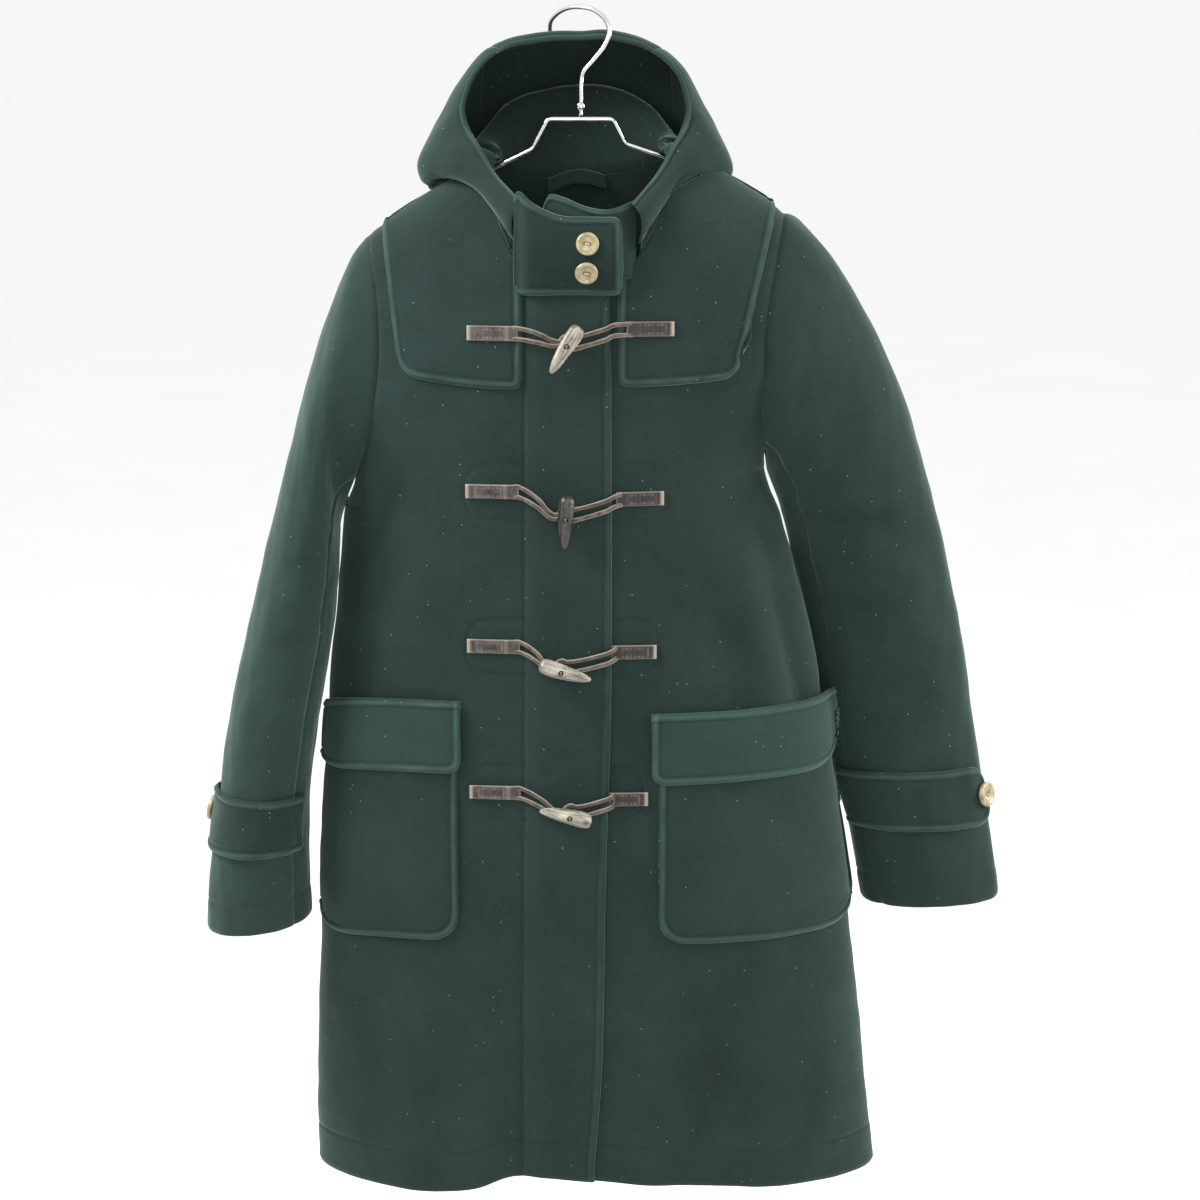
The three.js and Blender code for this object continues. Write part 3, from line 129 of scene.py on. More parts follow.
# Creases, as troughs (depth below 0) or ridges: middle, direction in degrees from level, length, width, depth
CREASES = {
    "front": columns(
        "x z turn length width depth",
        (-178, -452, 62, 110, 11, -2.6),
        (-160, -520, 72, 150, 16, 1.8),
        (-196, -600, 80, 150, 12, -2.4),
        (-120, -620, 86, 150, 24, 1.6),
        (160, -455, 118, 90, 12, -2.6),
        (172, -560, 104, 230, 13, 4.6),
        (196, -600, 103, 200, 11, -3.6),
        (138, -570, 100, 180, 20, -2.6),
        (90, -500, 84, 90, 18, -0.9),
        (120, -960, 84, 150, 16, -1.6),
        (-190, -970, 96, 160, 15, -1.6),
        (60, -900, 88, 120, 20, 1.1),
        (-90, -1000, 92, 130, 18, 1.2),
        (214, -1000, 80, 120, 12, -1.5),
    ),
    "back": columns(
        "x z turn length width depth",
        (-150, -430, 64, 130, 13, -2.4),
        (-118, -500, 76, 150, 18, 1.8),
        (-182, -560, 82, 150, 12, -2.0),
        (128, -420, -62, 120, 12, -2.2),
        (104, -500, -74, 140, 18, 1.6),
        (168, -590, -80, 140, 12, -1.8),
        (-60, -380, 12, 90, 9, -1.2),
        (40, -395, -9, 110, 10, -1.5),
        (0, -560, 88, 170, 24, 1.6),
        (-90, -820, 94, 210, 15, -2.2),
        (50, -860, 86, 190, 18, 1.8),
        (190, -900, 82, 170, 14, -1.9),
        (-205, -880, 97, 180, 13, 1.7),
    ),
    # Along a sleeve: x is the angle round it times 1.2, z is the height of its outer edge
    "sleeve_left": columns(
        "x z turn length width depth",
        (110, -455, 24, 70, 9, -2.2),
        (92, -498, 34, 84, 11, 1.6),
        (118, -545, 18, 66, 8, -2.0),
        (60, -590, 40, 80, 12, -1.1),
        (126, -610, 12, 60, 9, 1.5),
        (96, -660, 28, 70, 10, -1.4),
        (-100, -480, -28, 80, 10, -2.4),
        (-84, -545, -20, 90, 11, 1.8),
        (-110, -600, -14, 70, 8, -2.2),
        (-70, -670, -30, 80, 12, -1.4),
    ),
    "sleeve_right": columns(
        "x z turn length width depth",
        (112, -420, 30, 80, 10, -2.0),
        (84, -480, 42, 100, 13, 1.4),
        (122, -520, 20, 74, 8, -2.1),
        (100, -580, 26, 84, 10, 1.3),
        (124, -640, 14, 60, 8, -1.6),
        (60, -640, 48, 90, 14, -1.0),
        (-96, -440, -32, 90, 11, -2.3),
        (-112, -520, -18, 80, 9, 1.9),
        (-88, -590, -24, 90, 10, -2.0),
        (-70, -680, -30, 70, 11, -1.2),
    ),
}

SLEEVES = {
    "left": columns(
        "outer_x outer_z inner_x inner_z front back mid_y",
        (-206, -220, -216, -447, 66, 62, 0),
        (-241, -310, -220, -464, 70, 66, -3),
        (-256, -365, -220, -475, 69, 67, -7),
        (-271, -420, -220, -489, 66, 68, -13),
        (-299, -533, -225, -550, 60, 65, -24),
        (-325, -648, -243, -652, 56, 61, -31),
        (-333, -706, -250, -706, 53, 58, -33),
        (-342, -762, -252, -758, 51, 55, -34),
        (-349, -835, -251, -824, 49, 52, -34),
    ),
    "right": columns(
        "outer_x outer_z inner_x inner_z front back mid_y",
        (196, -184, 171, -414, 62, 58, 0),
        (226, -218, 174, -422, 59, 57, 1),
        (272, -297, 181, -440, 53, 53, 4),
        (292, -342, 184, -452, 50, 50, 7),
        (310, -396, 189, -468, 47, 47, 11),
        (326, -450, 194, -492, 44, 44, 15),
        (352, -562, 211, -571, 41, 41, 22),
        (372, -680, 232, -682, 39, 39, 23),
        (384, -744, 250, -744, 38, 38, 20),
        (396, -822, 266, -826, 37, 37, 15),
    ),
}
SLEEVE_PAINTED_LIGHT = {"left": 0.36, "right": 0.14}  # painted light: how much lighter each sleeve is drawn all over; more on the left sleeve, which faces the key light
SEAM_ANGLE = 140.0  # degrees from a sleeve's outer edge to its long seams

# The hood, from the throat round to the middle of its top; each row is a line of cloth from the front rim
# over the rolled edge to the neckline at neck_x
HOOD_POINTS = ("rim", "out", "fall", "belly", "low", "ridge")
HOOD = [
    ((-50, -74, -160), (-56, -80, -166), (-60, -81, -173), (-61, -80, -180), (-61, -77, -188), (-57, -73, -199)),
    ((-74, -50, -136), (-84, -53, -140), (-91, -50, -144), (-94, -45, -149), (-92, -40, -152), (-80, -48, -154)),
    ((-88, -36, -115), (-105, -38, -121), (-117, -34, -129), (-123, -27, -138), (-119, -21, -145), (-91, -30, -134)),
    ((-99, -22, -98), (-118, -19, -105), (-134, -12, -119), (-144, -5, -136), (-139, 2, -150), (-95, -4, -122)),
    ((-103, -14, -79), (-114, -1, -84), (-129, 14, -101), (-140, 24, -128), (-134, 34, -160), (-94, 15, -120)),
    ((-92, -8, -53), (-101, 8, -55), (-112, 30, -72), (-122, 52, -116), (-112, 62, -182), (-84, 38, -108)),
    ((-69, 0, -34), (-77, 13, -33), (-86, 40, -46), (-91, 74, -104), (-82, 80, -200), (-64, 58, -88)),
    ((-40, 6, -26), (-44, 17, -21), (-48, 45, -32), (-51, 84, -94), (-44, 86, -210), (-35, 64, -76)),
    ((-2, 10, -24), (-2, 20, -19), (-2, 47, -30), (-2, 88, -90), (-2, 89, -214), (-1, 66, -72)),
]
HOOD_NECK = (-52, -68, -75, -78.5, -79, -75, -56, -29, 0)
HOOD_FRONT_ROWS = 4  # rows whose neckline lies on the front
HOOD_RIGHT = 0.925
POUCH = {"start": 5, "thick": 17.0, "turn": 9.0, "flat": 0.35, "draw_in": 0.96}
NECK_STAND = {"off": 1.0, "up": 9.0, "root": 1.0}
BAND_START = 5.54  # place along a hood line where the neck band begins
HOOD_END = 8.0
SIDE_ROWS = 6
BAND_ROWS = 4

THROAT_TAB = {"left": -57.0, "right": 37.0, "corner": 9.0, "climb": 26.0, "climb_reach": 0.55, "tuck": 9.0}
THROAT_PROFILE = columns(
    "z y", (-172, -86), (-185, -89), (-198, -91), (-211, -90), (-222, -87.5), (-232, -84.4), (-240, -82.1)
)
UNDER_TAB = columns(
    "x top_y top_z low_y low_z",
    (-32, -73, -164, -74, -176),
    (-27, -78, -154, -80, -180),
    (-14, -80.5, -156, -83.4, -184),
    (6, -81, -164, -84.6, -188),
    (24, -80, -167, -81, -206),
    (37, -76, -164, -79, -224),
    (49, -66, -160, -73, -226),
)

YOKES = {
    "left": {"bottom": -322, "outer_top": -174, "outer_low": -161, "inner": -51, "corner": 20, "inner_corner": 9, "climb": 11},
    "right": {"bottom": -320, "outer_top": 172, "outer_low": 142, "inner": 34, "corner": 18, "inner_corner": 9, "climb": 7},
    "back": {"bottom": -330, "corner": 30, "inset": 14},
}
POCKETS = {
    "left": {
        "inner": -111, "bottom": -832, "corner": 26, "end": 12, "sag": 16.0,
        "flap_inner": -107, "flap_top": -606, "flap_bottom": -672, "flap_out": 1.0,
    },
    "right": {
        "inner": 71, "bottom": -834, "corner": 26, "end": 4, "sag": 0.0,
        "flap_inner": 64, "flap_top": -617, "flap_bottom": -682, "flap_out": 6.0,
    },
}
FLAP_CORNER = 13.0
FLAP_OVER = 12.0

# Rows of toggles: left tab, right tab, thick end and tip of the toggle
TAB_HEIGHT = 12.5
TOGGLES = columns(
    "left_start left_end left_z right_start right_end right_z thick_x thick_z tip_x tip_z",
    (-98, -54, -274, 41, 82, -270, 0, -265, -27, -305),
    (-101, -54, -414, 32, 74, -421, -11, -414, -15, -457),
    (-101, -54, -555, 28, 68, -560, -36, -566, 9, -582),
    (-100, -54, -690, 26, 61, -696, 10, -712, -36, -699),
)
TOGGLE_LENGTH = 48.0
TOGGLE_HOLE = {"radius": 2.5, "along": 0.42}
TOGGLE_PROFILE = columns(
    "along radius",
    (0, 0.6),
    (0.5, 3.6),
    (1.6, 5.4),
    (3.6, 6.5),
    (9, 7.2),
    (18, 7.0),
    (28, 6.0),
    (38, 4.6),
    (44, 3.0),
    (47, 1.7),
    (48, 0.4),
)
CORD = 3.2
LOOP_EYE = 6.5

# The stitched half ovals round the lower toggles: how far they reach from the middle of the placket
OVALS = columns(
    "z left right half corner",
    (-416, -102, 76, 25, 21),
    (-556, -102, 70, 25, 21),
    (-690, -102, 57, 25, 21),
)

BUTTONS = {
    "tab_button_upper": {"at": (7, -91.2, -194), "out": (0, -1, 0.06)},
    "tab_button_lower": {"at": (6, -89.4, -219), "out": (0, -0.96, -0.28)},
}
TAB_BUTTON = {"diameter": 20.0, "thick": 4.0}
CUFF_BUTTON = {"diameter": 23.0, "thick": 4.4}
BUTTON_HOLES = {"diameter": 2.0, "apart": 4.4}
CUFF_STRAPS = {
    "left": {"low": -756, "high": -700, "start": 152, "end": -26, "button": -14},
    "right": {"low": -750, "high": -694, "start": 168, "end": 14, "button": 24},
}
STRAP_END = 24.0
STRAP_OFF = ON_BODY + 0.3

WIRE = 4.2
HOOK = [
    (-27, 37, -22), (-26, 30, -12), (-20, 21, -4.6), (-11, 11, 0.6), (0, 2, 2.1), (12, -5, 0), (22, -10, -7.5),
    (26, -12, -18), (22, -12, -30), (12, -10, -43), (3, -8, -54), (1, -8, -64), (1, -8, -91.2),
]
BALL = {"x": 1.0, "y": -8.0, "z": -83.0, "radius": 4.2}
BAR = {"left": -28.0, "right": 29.0, "z": -94.2, "y": -8.0}
KNEES = {"left": (-42, -5, -121), "right": (40, -5, -116)}
FRAME_BEND = 6.0
HANGING_LOOP = {"start": -28.0, "end": 22.0, "width": 11.0, "rise": 8.0, "lean": 5.0}

# Sewing
EDGE_STITCH = 6.6  # from an edge to its topstitching
STITCH = {"pitch": 3.6, "length": 2.7, "radius": 0.42}
HEM_STITCH = 38.0
CUFF_STITCH = 28.0


# Small helpers


def lerp(a, b, t):
    return a + (b - a) * t


def smoothstep(value, low, high):
    t = np.clip((value - low) / (high - low), 0, 1)
    return t * t * (3 - 2 * t)


def unit(vectors):
    """Vectors brought to length 1."""
    return vectors / np.maximum(np.linalg.norm(vectors, axis=-1, keepdims=True), 1e-9)


def hermite(a, b, leaving, arriving, t):
    """The cubic from a to b with these slopes at its ends."""
    return (
        a
        + (b - a) * (3 * t**2 - 2 * t**3)
        + leaving * (t - 2 * t**2 + t**3)
        + arriving * (t**3 - t**2)
    )


def smooth(table, key, by, at):
    """A smooth curve through a table: one column's value where another has the value `at`."""
    x, y = table[by], table[key]
    if x[0] > x[-1]:
        x, y = x[::-1], y[::-1]
    slope = np.gradient(y)
    slope[1:-1] = (y[2:] - y[:-2]) / (x[2:] - x[:-2])
    slope[0] = (y[1] - y[0]) / (x[1] - x[0])
    slope[-1] = (y[-1] - y[-2]) / (x[-1] - x[-2])
    i = np.clip(np.searchsorted(x, at, side="right") - 1, 0, len(x) - 2)
    width = x[i + 1] - x[i]
    t = np.clip((at - x[i]) / width, 0, 1)
    return hermite(y[i], y[i + 1], slope[i] * width, slope[i + 1] * width, t)


def spline(rows, at):
    """A smooth curve through rows of points, at places counted in rows."""
    rows = np.asarray(rows, float)
    step = np.linalg.norm(np.diff(rows, axis=0), axis=-1)
    step = np.sqrt(step.reshape(len(rows) - 1, -1).mean(1))
    shape = (-1,) + (1,) * (rows.ndim - 1)
    wide = step.reshape(shape)
    pace = np.diff(rows, axis=0) / wide
    slope = np.concatenate([pace[:1], pace])
    slope[1:-1] = (pace[:-1] * wide[1:] + pace[1:] * wide[:-1]) / (wide[1:] + wide[:-1])
    at = np.asarray(at, float)
    i = np.clip(np.floor(at).astype(int), 0, len(rows) - 2)
    t = (at - i).reshape(shape)
    return hermite(rows[i], rows[i + 1], slope[i] * wide[i], slope[i + 1] * wide[i], t)


def graded(low, high, marks=(), fine=1.4, coarse=5.0, reach=(10, 24)):
    """Positions from low to high, closer together near the marks."""
    marks = np.array(list(marks) or [low - 1e6], float)
    spots = [low]
    while spots[-1] < high:
        near = np.abs(marks - spots[-1]).min()
        spots.append(spots[-1] + lerp(fine, coarse, smoothstep(near, *reach)))
    spots = np.array(spots)
    return low + (spots - low) * (high - low) / (spots[-1] - low)


def even(points, gap):
    """The same path with points at even distances."""
    points = np.asarray(points, float)
    length = np.concatenate([[0], np.cumsum(np.linalg.norm(np.diff(points, axis=0), axis=1))])
    at = np.linspace(0, length[-1], max(2, int(round(length[-1] / gap)) + 1))
    return np.stack([np.interp(at, length, points[:, k]) for k in range(3)], axis=1)


# The form of the body


def middle(z):
    return (smooth(BODY, "left", "z", z) + smooth(BODY, "right", "z", z)) / 2


def crest(x):
    return smooth(SHOULDER, "z", "x", x)


def underarm(x):
    """Height of the underarm line at x."""
    left, right = ARMHOLES["left"]["under"], ARMHOLES["right"]["under"]
    return lerp(left[1], right[1], np.clip((x - left[0]) / (right[0] - left[0]), 0, 1))


def armhole_point(side, angle):
    """A point of an armhole: 0 degrees is the shoulder tip, 90 the front, 180 the underarm, 270 the back."""
    hole = ARMHOLES[side]
    c, s = np.cos(np.radians(angle)), np.sin(np.radians(angle))
    depth = np.where(s > 0, hole["front"], hole["back"])
    share = (1 + c) / 2
    return np.stack(
        [
            lerp(hole["under"][0], hole["tip"][0], share) + hole["scoop"] * s * s,
            -depth * s,
            lerp(hole["under"][1], hole["tip"][1], share),
        ],
        axis=-1,
    )


def depth_squared(x, z, face):
    """Squared depth of the form in front or behind, which closes at the shoulder line."""
    rise = np.clip((z - underarm(x)) / (crest(x) - underarm(x)), 0, 2)
    return smooth(BODY, face, "z", z) ** 2 * (1 - rise**3)


def half_width(side, z, face):
    """Half width of the section at z; above the underarm it reaches on under the sleeve."""
    hole = ARMHOLES[side]
    (tip_x, tip_z), (under_x, under_z) = hole["tip"], hole["under"]
    below = np.abs(smooth(BODY, side, "z", z) - middle(z))
    height = (tip_z - under_z) / 2
    c = np.clip((z - under_z) / height - 1, -1, SLEEVE_REACH)
    s = np.sqrt(1 - c * c)
    x = lerp(under_x, tip_x, (1 + c) / 2) + hole["scoop"] * s * s
    level = under_z + (1 + c) * height
    share = (hole[face] * s) ** 2 / np.maximum(depth_squared(x, level, face), 1e-6)
    above = np.abs(x - middle(level)) / (1 - np.clip(share, 0, 0.9)) ** (1 / FLATNESS[face])
    return np.where(z <= under_z, below, above)


def across(x, z, face):
    """Share of the half width at x."""
    mid = middle(z)
    result = np.zeros(np.broadcast(x, z).shape)
    for side, here in (("left", x < mid), ("right", x >= mid)):
        under_z = ARMHOLES[side]["under"][1]
        full = half_width(side, z, face)
        eased = lerp(half_width(side, np.full_like(full, under_z), face), full, smoothstep(z, under_z, under_z + EASE_IN))
        share = np.abs(x - mid) / full
        above = (x - mid) / lerp(eased, full, smoothstep(share, 0.7, 0.98))
        result = np.where(here, np.where(z <= under_z, (x - mid) / full, above), result)
    return result


def fold_depth(x, z, face):
    fade = np.maximum(0, 1 - across(x, z, face) ** 4)
    total = np.zeros_like(fade)
    fold = FOLDS[face]
    for k in range(len(fold["x"])):
        grown = smoothstep(-z, -fold["start"][k], -BODY["z"][0])
        d = (x - fold["x"][k] - fold["lean"][k] * grown) / fold["width"][k]
        total += fold["depth"][k] * grown * fade * np.exp(-d * d)
    return total


def body_y(x, z, face):
    """y of the cloth's outer face at x, z."""
    share = np.abs(across(x, z, face)) ** FLATNESS[face]
    out = np.sqrt(np.maximum(0, depth_squared(x, z, face) * (1 - share))) + fold_depth(x, z, face)
    return -out if face == "front" else out


def level_of(p, face):
    """Negative inside the form, 0 on it, positive outside."""
    x, y, z = p[..., 0], p[..., 1], p[..., 2]
    share = np.abs(across(x, z, face)) ** FLATNESS[face]
    fold = fold_depth(x, z, face) * np.sign(y)
    return depth_squared(x, z, face) * (share - 1) + (y - fold) ** 2


def level_slope(p, face):
    step = 0.5
    moves = np.eye(3) * step
    slope = [level_of(p + m, face) - level_of(p - m, face) for m in moves]
    return np.stack(slope, axis=-1) / (2 * step)


def on_body(x, z, face, off=0.0):
    """Points on the body moved out by `off`, and their normals."""
    x, z = np.broadcast_arrays(np.asarray(x, float), np.asarray(z, float))
    p = np.stack([x, body_y(x, z, face), z], axis=-1)
    n = unit(level_slope(p, face))
    return p + n * np.asarray(off)[..., None], n


def lap_rise(x):
    return LAP["rise"] * smoothstep(x, LAP["low"] - 6, LAP["high"] + 6)


def on_lap(x, z, off=0.0):
    """The same on the front that laps over, which rises near its edge."""
    return on_body(x, z, "front", np.asarray(off) + lap_rise(np.asarray(x, float)))


def neckline(x, face):
    share = np.clip(np.abs(x) / NECK["half"], 0, 1) ** NECK["bulge"]
    ends = crest(np.array([-NECK["half"], NECK["half"]]))
    shoulder = lerp(ends[0], ends[1], (x / NECK["half"] + 1) / 2)
    return shoulder - NECK[face] * np.sqrt(1 - share)


def panel_top(x, face):
    return np.where(np.abs(x) >= NECK["half"], crest(x), neckline(x, face))


def edge_x(z):
    return smooth(FRONT_EDGE, "x", "z", z)


# Relief of the cloth: creases, slow waves, stitched edges


def crease_height(x, z, table):
    total = np.zeros(np.broadcast(x, z).shape)
    for k in range(len(table["x"])):
        turn = math.radians(table["turn"][k])
        dx, dz = x - table["x"][k], z - table["z"][k]
        along = (dx * math.cos(turn) + dz * math.sin(turn)) / (table["length"][k] / 2)
        off = (dz * math.cos(turn) - dx * math.sin(turn)) / table["width"][k]
        bend = off + 0.5 * along**2 * math.copysign(1, table["depth"][k])
        total += table["depth"][k] * np.exp(-(bend**2)) * np.exp(-((along * 1.1) ** 4))
    return total


WAVES = columns(
    "size_x size_z turn phase height",
    (94, 150, 0.3, 0.4, 0.55),
    (61, 117, -0.5, 2.1, 0.40),
    (43, 71, 0.9, 4.0, 0.24),
    (31, 38, -0.2, 1.3, 0.14),
)


def slow_waves(x, z):
    """The uneven lie of thick cloth."""
    total = np.zeros(np.broadcast(x, z).shape)
    for k in range(len(WAVES["turn"])):
        u = x * math.cos(WAVES["turn"][k]) + z * math.sin(WAVES["turn"][k])
        v = z * math.cos(WAVES["turn"][k]) - x * math.sin(WAVES["turn"][k])
        phase = WAVES["phase"][k]
        total += WAVES["height"][k] * np.sin(6.283 * u / WAVES["size_x"][k] + phase) * np.sin(
            6.283 * v / WAVES["size_z"][k] + 2 * phase
        )
    return total


NEAR_EDGE = 14.0  # how far from an edge its relief can reach


def tree_of(points):
    """A search tree of points."""
    tree = KDTree(len(points))
    for k, p in enumerate(points):
        tree.insert(p, k)
    tree.balance()
    return tree


def distance_to(points, path):
    """Distance of each point from a path; points well away from it get 40 mm."""
    path = even(path, 0.8)
    tree = tree_of(path)
    result = np.full(points.shape[:-1], 40.0)
    block = 8
    for i in range(0, points.shape[0], block):
        for j in range(0, points.shape[1], block):
            part = points[i : i + block, j : j + block]
            centre = part.reshape(-1, 3).mean(0)
            reach = np.linalg.norm(part - centre, axis=-1).max()
            if tree.find(centre)[2] - reach > NEAR_EDGE:
                continue
            found = [tree.find(p)[2] for p in part.reshape(-1, 3)]
            result[i : i + block, j : j + block] = np.reshape(found, part.shape[:-1])
    return result


def stitched_edge(distance, inset, puff):
    """A topstitched edge: rolled over, full between edge and stitches, drawn in by them."""
    full = puff * np.sin(np.pi * np.clip(distance / inset, 0, 1))
    drawn = 0.95 * np.exp(-(((distance - inset) / 1.3) ** 2))
    rolled = 1.5 * np.exp(-((distance / 1.5) ** 2))
    return full - drawn - rolled


def seam_edge(distance):
    """A seam: both edges turn in."""
    return -1.3 * np.exp(-((distance / 2.2) ** 2))


def groove(distance, depth=0.6, width=1.3):
    return -depth * np.exp(-((distance / width) ** 2))


def grid_normals(points, outward):
    """Normals of a grid, on the side that `outward` points to."""
    n = unit(np.cross(np.gradient(points, axis=1), np.gradient(points, axis=0)))
    outward = np.broadcast_to(np.asarray(outward, float), n.shape)
    return n if (n * outward).sum() > 0 else -n


# Meshes

collection = bpy.context.scene.collection


def new_object(name, vertices, faces, material, wear_and_shading=None, uv=None):
    mesh = bpy.data.meshes.new(name)
    mesh.from_pydata((np.asarray(vertices) * MM).tolist(), [], np.asarray(faces).tolist())
    mesh.shade_smooth()
    if wear_and_shading is not None:
        mesh.attributes.new("wear_and_shading", "FLOAT", "POINT").data.foreach_set("value", np.asarray(wear_and_shading, np.float32))
    if uv is not None:
        loops = np.empty(len(mesh.loops), int)
        mesh.loops.foreach_get("vertex_index", loops)
        mesh.uv_layers.new(name="along").data.foreach_set("uv", np.asarray(uv, np.float32)[loops].ravel())
    mesh.materials.append(material)
    obj = bpy.data.objects.new(name, mesh)
    collection.objects.link(obj)
    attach(obj, "root")
    return obj


def facing_out(vertices, faces):
    """The faces, turned so that the closed mesh faces out."""
    v = np.asarray(vertices)
    faces = np.asarray(faces)
    a, b, c = v[faces[:, 0]], v[faces[:, 1]], v[faces[:, 2]]
    volume = (a * np.cross(b, c)).sum()
    if faces.shape[1] == 4:
        d = v[faces[:, 3]]
        volume += (a * np.cross(c, d)).sum()
    return faces if volume > 0 else faces[:, ::-1]


def shell_mesh(outer, inner, bulge=0.9):
    """Vertices and quads of a closed wall between two grids, its edge rounded by `bulge`."""
    rows, cols = outer.shape[:2]
    number = np.arange(rows * cols).reshape(rows, cols)
    loop = np.concatenate([number[0, :-1], number[:-1, -1], number[-1, :0:-1], number[:0:-1, 0]])
    step_in = np.concatenate([number[1, :-1], number[:-1, -2], number[-2, :0:-1], number[:0:-1, 1]])
    flat_out, flat_in = outer.reshape(-1, 3), inner.reshape(-1, 3)
    away = unit(flat_in[loop] - flat_in[step_in])
    ring = (flat_out[loop] + flat_in[loop]) / 2 + away * bulge
    vertices = np.concatenate([flat_out, flat_in, ring])
    quads = np.stack([number[:-1, :-1], number[:-1, 1:], number[1:, 1:], number[1:, :-1]], axis=-1).reshape(-1, 4)
    count = rows * cols
    edge = 2 * count + np.arange(len(loop))
    after = np.roll(np.arange(len(loop)), -1)
    upper = np.stack([loop[after], loop, edge, edge[after]], axis=1)
    lower = np.stack([edge[after], edge, loop + count, loop[after] + count], axis=1)
    faces = np.concatenate([quads, quads[:, ::-1] + count, upper, lower])
    return vertices, facing_out(vertices, faces)


def sides_of(grid, names):
    """One path along the named sides of a grid, in their order round it."""
    ways = {"low": grid[0], "end": grid[:, -1], "high": grid[-1][::-1], "start": grid[::-1, 0]}
    return np.concatenate([ways[name] for name in names])


stitch_rows = []  # every row of topstitching: (points, normals)
wool_pieces = {}


def sew(route, surface, normals, inset=0.0, centre=None):
    """Adds a row of stitches along a route, moved in towards the piece's centre and seated on its surface."""
    path = even(route, STITCH["pitch"])
    flat, away = surface.reshape(-1, 3), normals.reshape(-1, 3)
    tree = tree_of(flat)
    near = np.array([tree.find(p)[1] for p in path])
    if inset:
        tangent = unit(np.gradient(path, axis=0))
        inward = unit(np.cross(away[near], tangent))
        if ((centre - path) * inward).sum() < 0:
            inward = -inward
        path = path + inward * inset
        near = np.array([tree.find(p)[1] for p in path])
    n = away[near]
    path = path - n * ((path - flat[near]) * n).sum(1)[:, None]
    stitch_rows.append((path, n))


def wool_piece(
    node, grid, outward, stitched=(), seams=(), inset=EDGE_STITCH, puff=1.0, relief=0.0, cut=0.0, thickness=CLOTH,
    stitches=True, worn=0.8, tone=0.12,
):
    """A piece of melton: a closed wall on a grid of points, with relief, stitched edges and seams.

    `relief` is the height of folds and creases, which both faces follow; `cut` is relief of the outer face only.
    """
    normals = grid_normals(grid, outward)
    base = grid + normals * np.broadcast_to(relief, grid.shape[:2])[..., None]
    normals = grid_normals(base, outward)
    height = np.broadcast_to(cut, grid.shape[:2]).copy()
    # Painted light and shade in the cloth's colour: `tone` lightens the whole piece, and the cloth is drawn lighter
    # where its relief stands out and darker in the troughs of its folds and creases.
    wear_and_shading = tone + 0.05 * np.broadcast_to(relief, grid.shape[:2])
    for names in stitched:
        distance = distance_to(base, sides_of(base, names))
        uneven = 1 + 0.35 * np.sin(base[..., 0] / 5.3 + base[..., 1] / 4.1) * np.sin(base[..., 2] / 6.7 + 1)
        height += stitched_edge(distance, inset, puff * uneven)
        # Stitched edges are drawn lighter between edge and stitches: partly real edge wear, partly a painted
        # highlight on the raised puff; `worn` sets how much.
        wear_and_shading = wear_and_shading + uneven * worn * np.sin(np.pi * np.clip(distance / inset, 0, 1)) ** 2
    for names in seams:
        height += seam_edge(distance_to(base, sides_of(base, names)))
    outer = base + normals * height[..., None]
    inner = base - normals * thickness
    vertices, faces = shell_mesh(outer, inner)
    all_wear_and_shading = np.concatenate([wear_and_shading.ravel(), np.zeros(len(vertices) - wear_and_shading.size)])
    obj = new_object("wool_" + node, vertices, faces, MELTON, wear_and_shading=all_wear_and_shading)
    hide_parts(node)
    wool_pieces[node] = {"object": obj, "outer": outer, "normals": normals}
    if stitches:
        centre = base.reshape(-1, 3).mean(0)
        for names in stitched:
            sew(sides_of(outer, names), outer, normals, inset, centre)
    return obj


def tube_mesh(points, radius, sides=10, flat=1.0, start=(0, 1, 0)):
    """A closed round rod along a path; `radius` may differ along it and `flat` squeezes it."""
    points = np.asarray(points, float)
    radius = np.broadcast_to(radius, len(points))
    tangent = unit(np.gradient(points, axis=0))
    side = np.asarray(start, float)
    angle = 2 * np.pi * np.arange(sides) / sides
    rings = []
    for p, t, r in zip(points, tangent, radius):
        side = unit(side - t * (side @ t))
        other = np.cross(t, side)
        rings.append(p + r * (flat * np.cos(angle)[:, None] * side + np.sin(angle)[:, None] * other))
    count = len(points)
    vertices = np.concatenate([*rings, points[:1], points[-1:]])
    number = np.arange(count * sides).reshape(count, sides)
    turned = np.roll(number, -1, axis=1)
    quads = np.stack([number[:-1], turned[:-1], turned[1:], number[1:]], axis=-1).reshape(-1, 4)
    first, last = count * sides, count * sides + 1
    caps = [(first, turned[0, k], number[0, k], number[0, k]) for k in range(sides)]
    caps += [(last, number[-1, k], turned[-1, k], turned[-1, k]) for k in range(sides)]
    faces = [tuple(q) for q in quads] + [c[:3] for c in caps]
    return vertices, faces


def join_meshes(parts):
    """Several (vertices, faces) as one."""
    vertices, faces, base = [], [], 0
    for v, f in parts:
        vertices.append(np.asarray(v))
        faces += [tuple(int(k) + base for k in face) for face in f]
        base += len(v)
    return np.concatenate(vertices), faces


def plain_object(name, vertices, faces, material, node=None, wear_and_shading=None, uv=None):
    mesh = bpy.data.meshes.new(name)
    mesh.from_pydata((np.asarray(vertices) * MM).tolist(), [], [tuple(int(k) for k in f) for f in faces])
    mesh.shade_smooth()
    if wear_and_shading is not None:
        mesh.attributes.new("wear_and_shading", "FLOAT", "POINT").data.foreach_set("value", np.asarray(wear_and_shading, np.float32))
    if uv is not None:
        loops = np.empty(len(mesh.loops), int)
        mesh.loops.foreach_get("vertex_index", loops)
        mesh.uv_layers.new(name="along").data.foreach_set("uv", np.asarray(uv, np.float32)[loops].ravel())
    mesh.materials.append(material)
    obj = bpy.data.objects.new(name, mesh)
    collection.objects.link(obj)
    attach(obj, "root")
    if node:
        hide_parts(node)
    return obj


# Materials


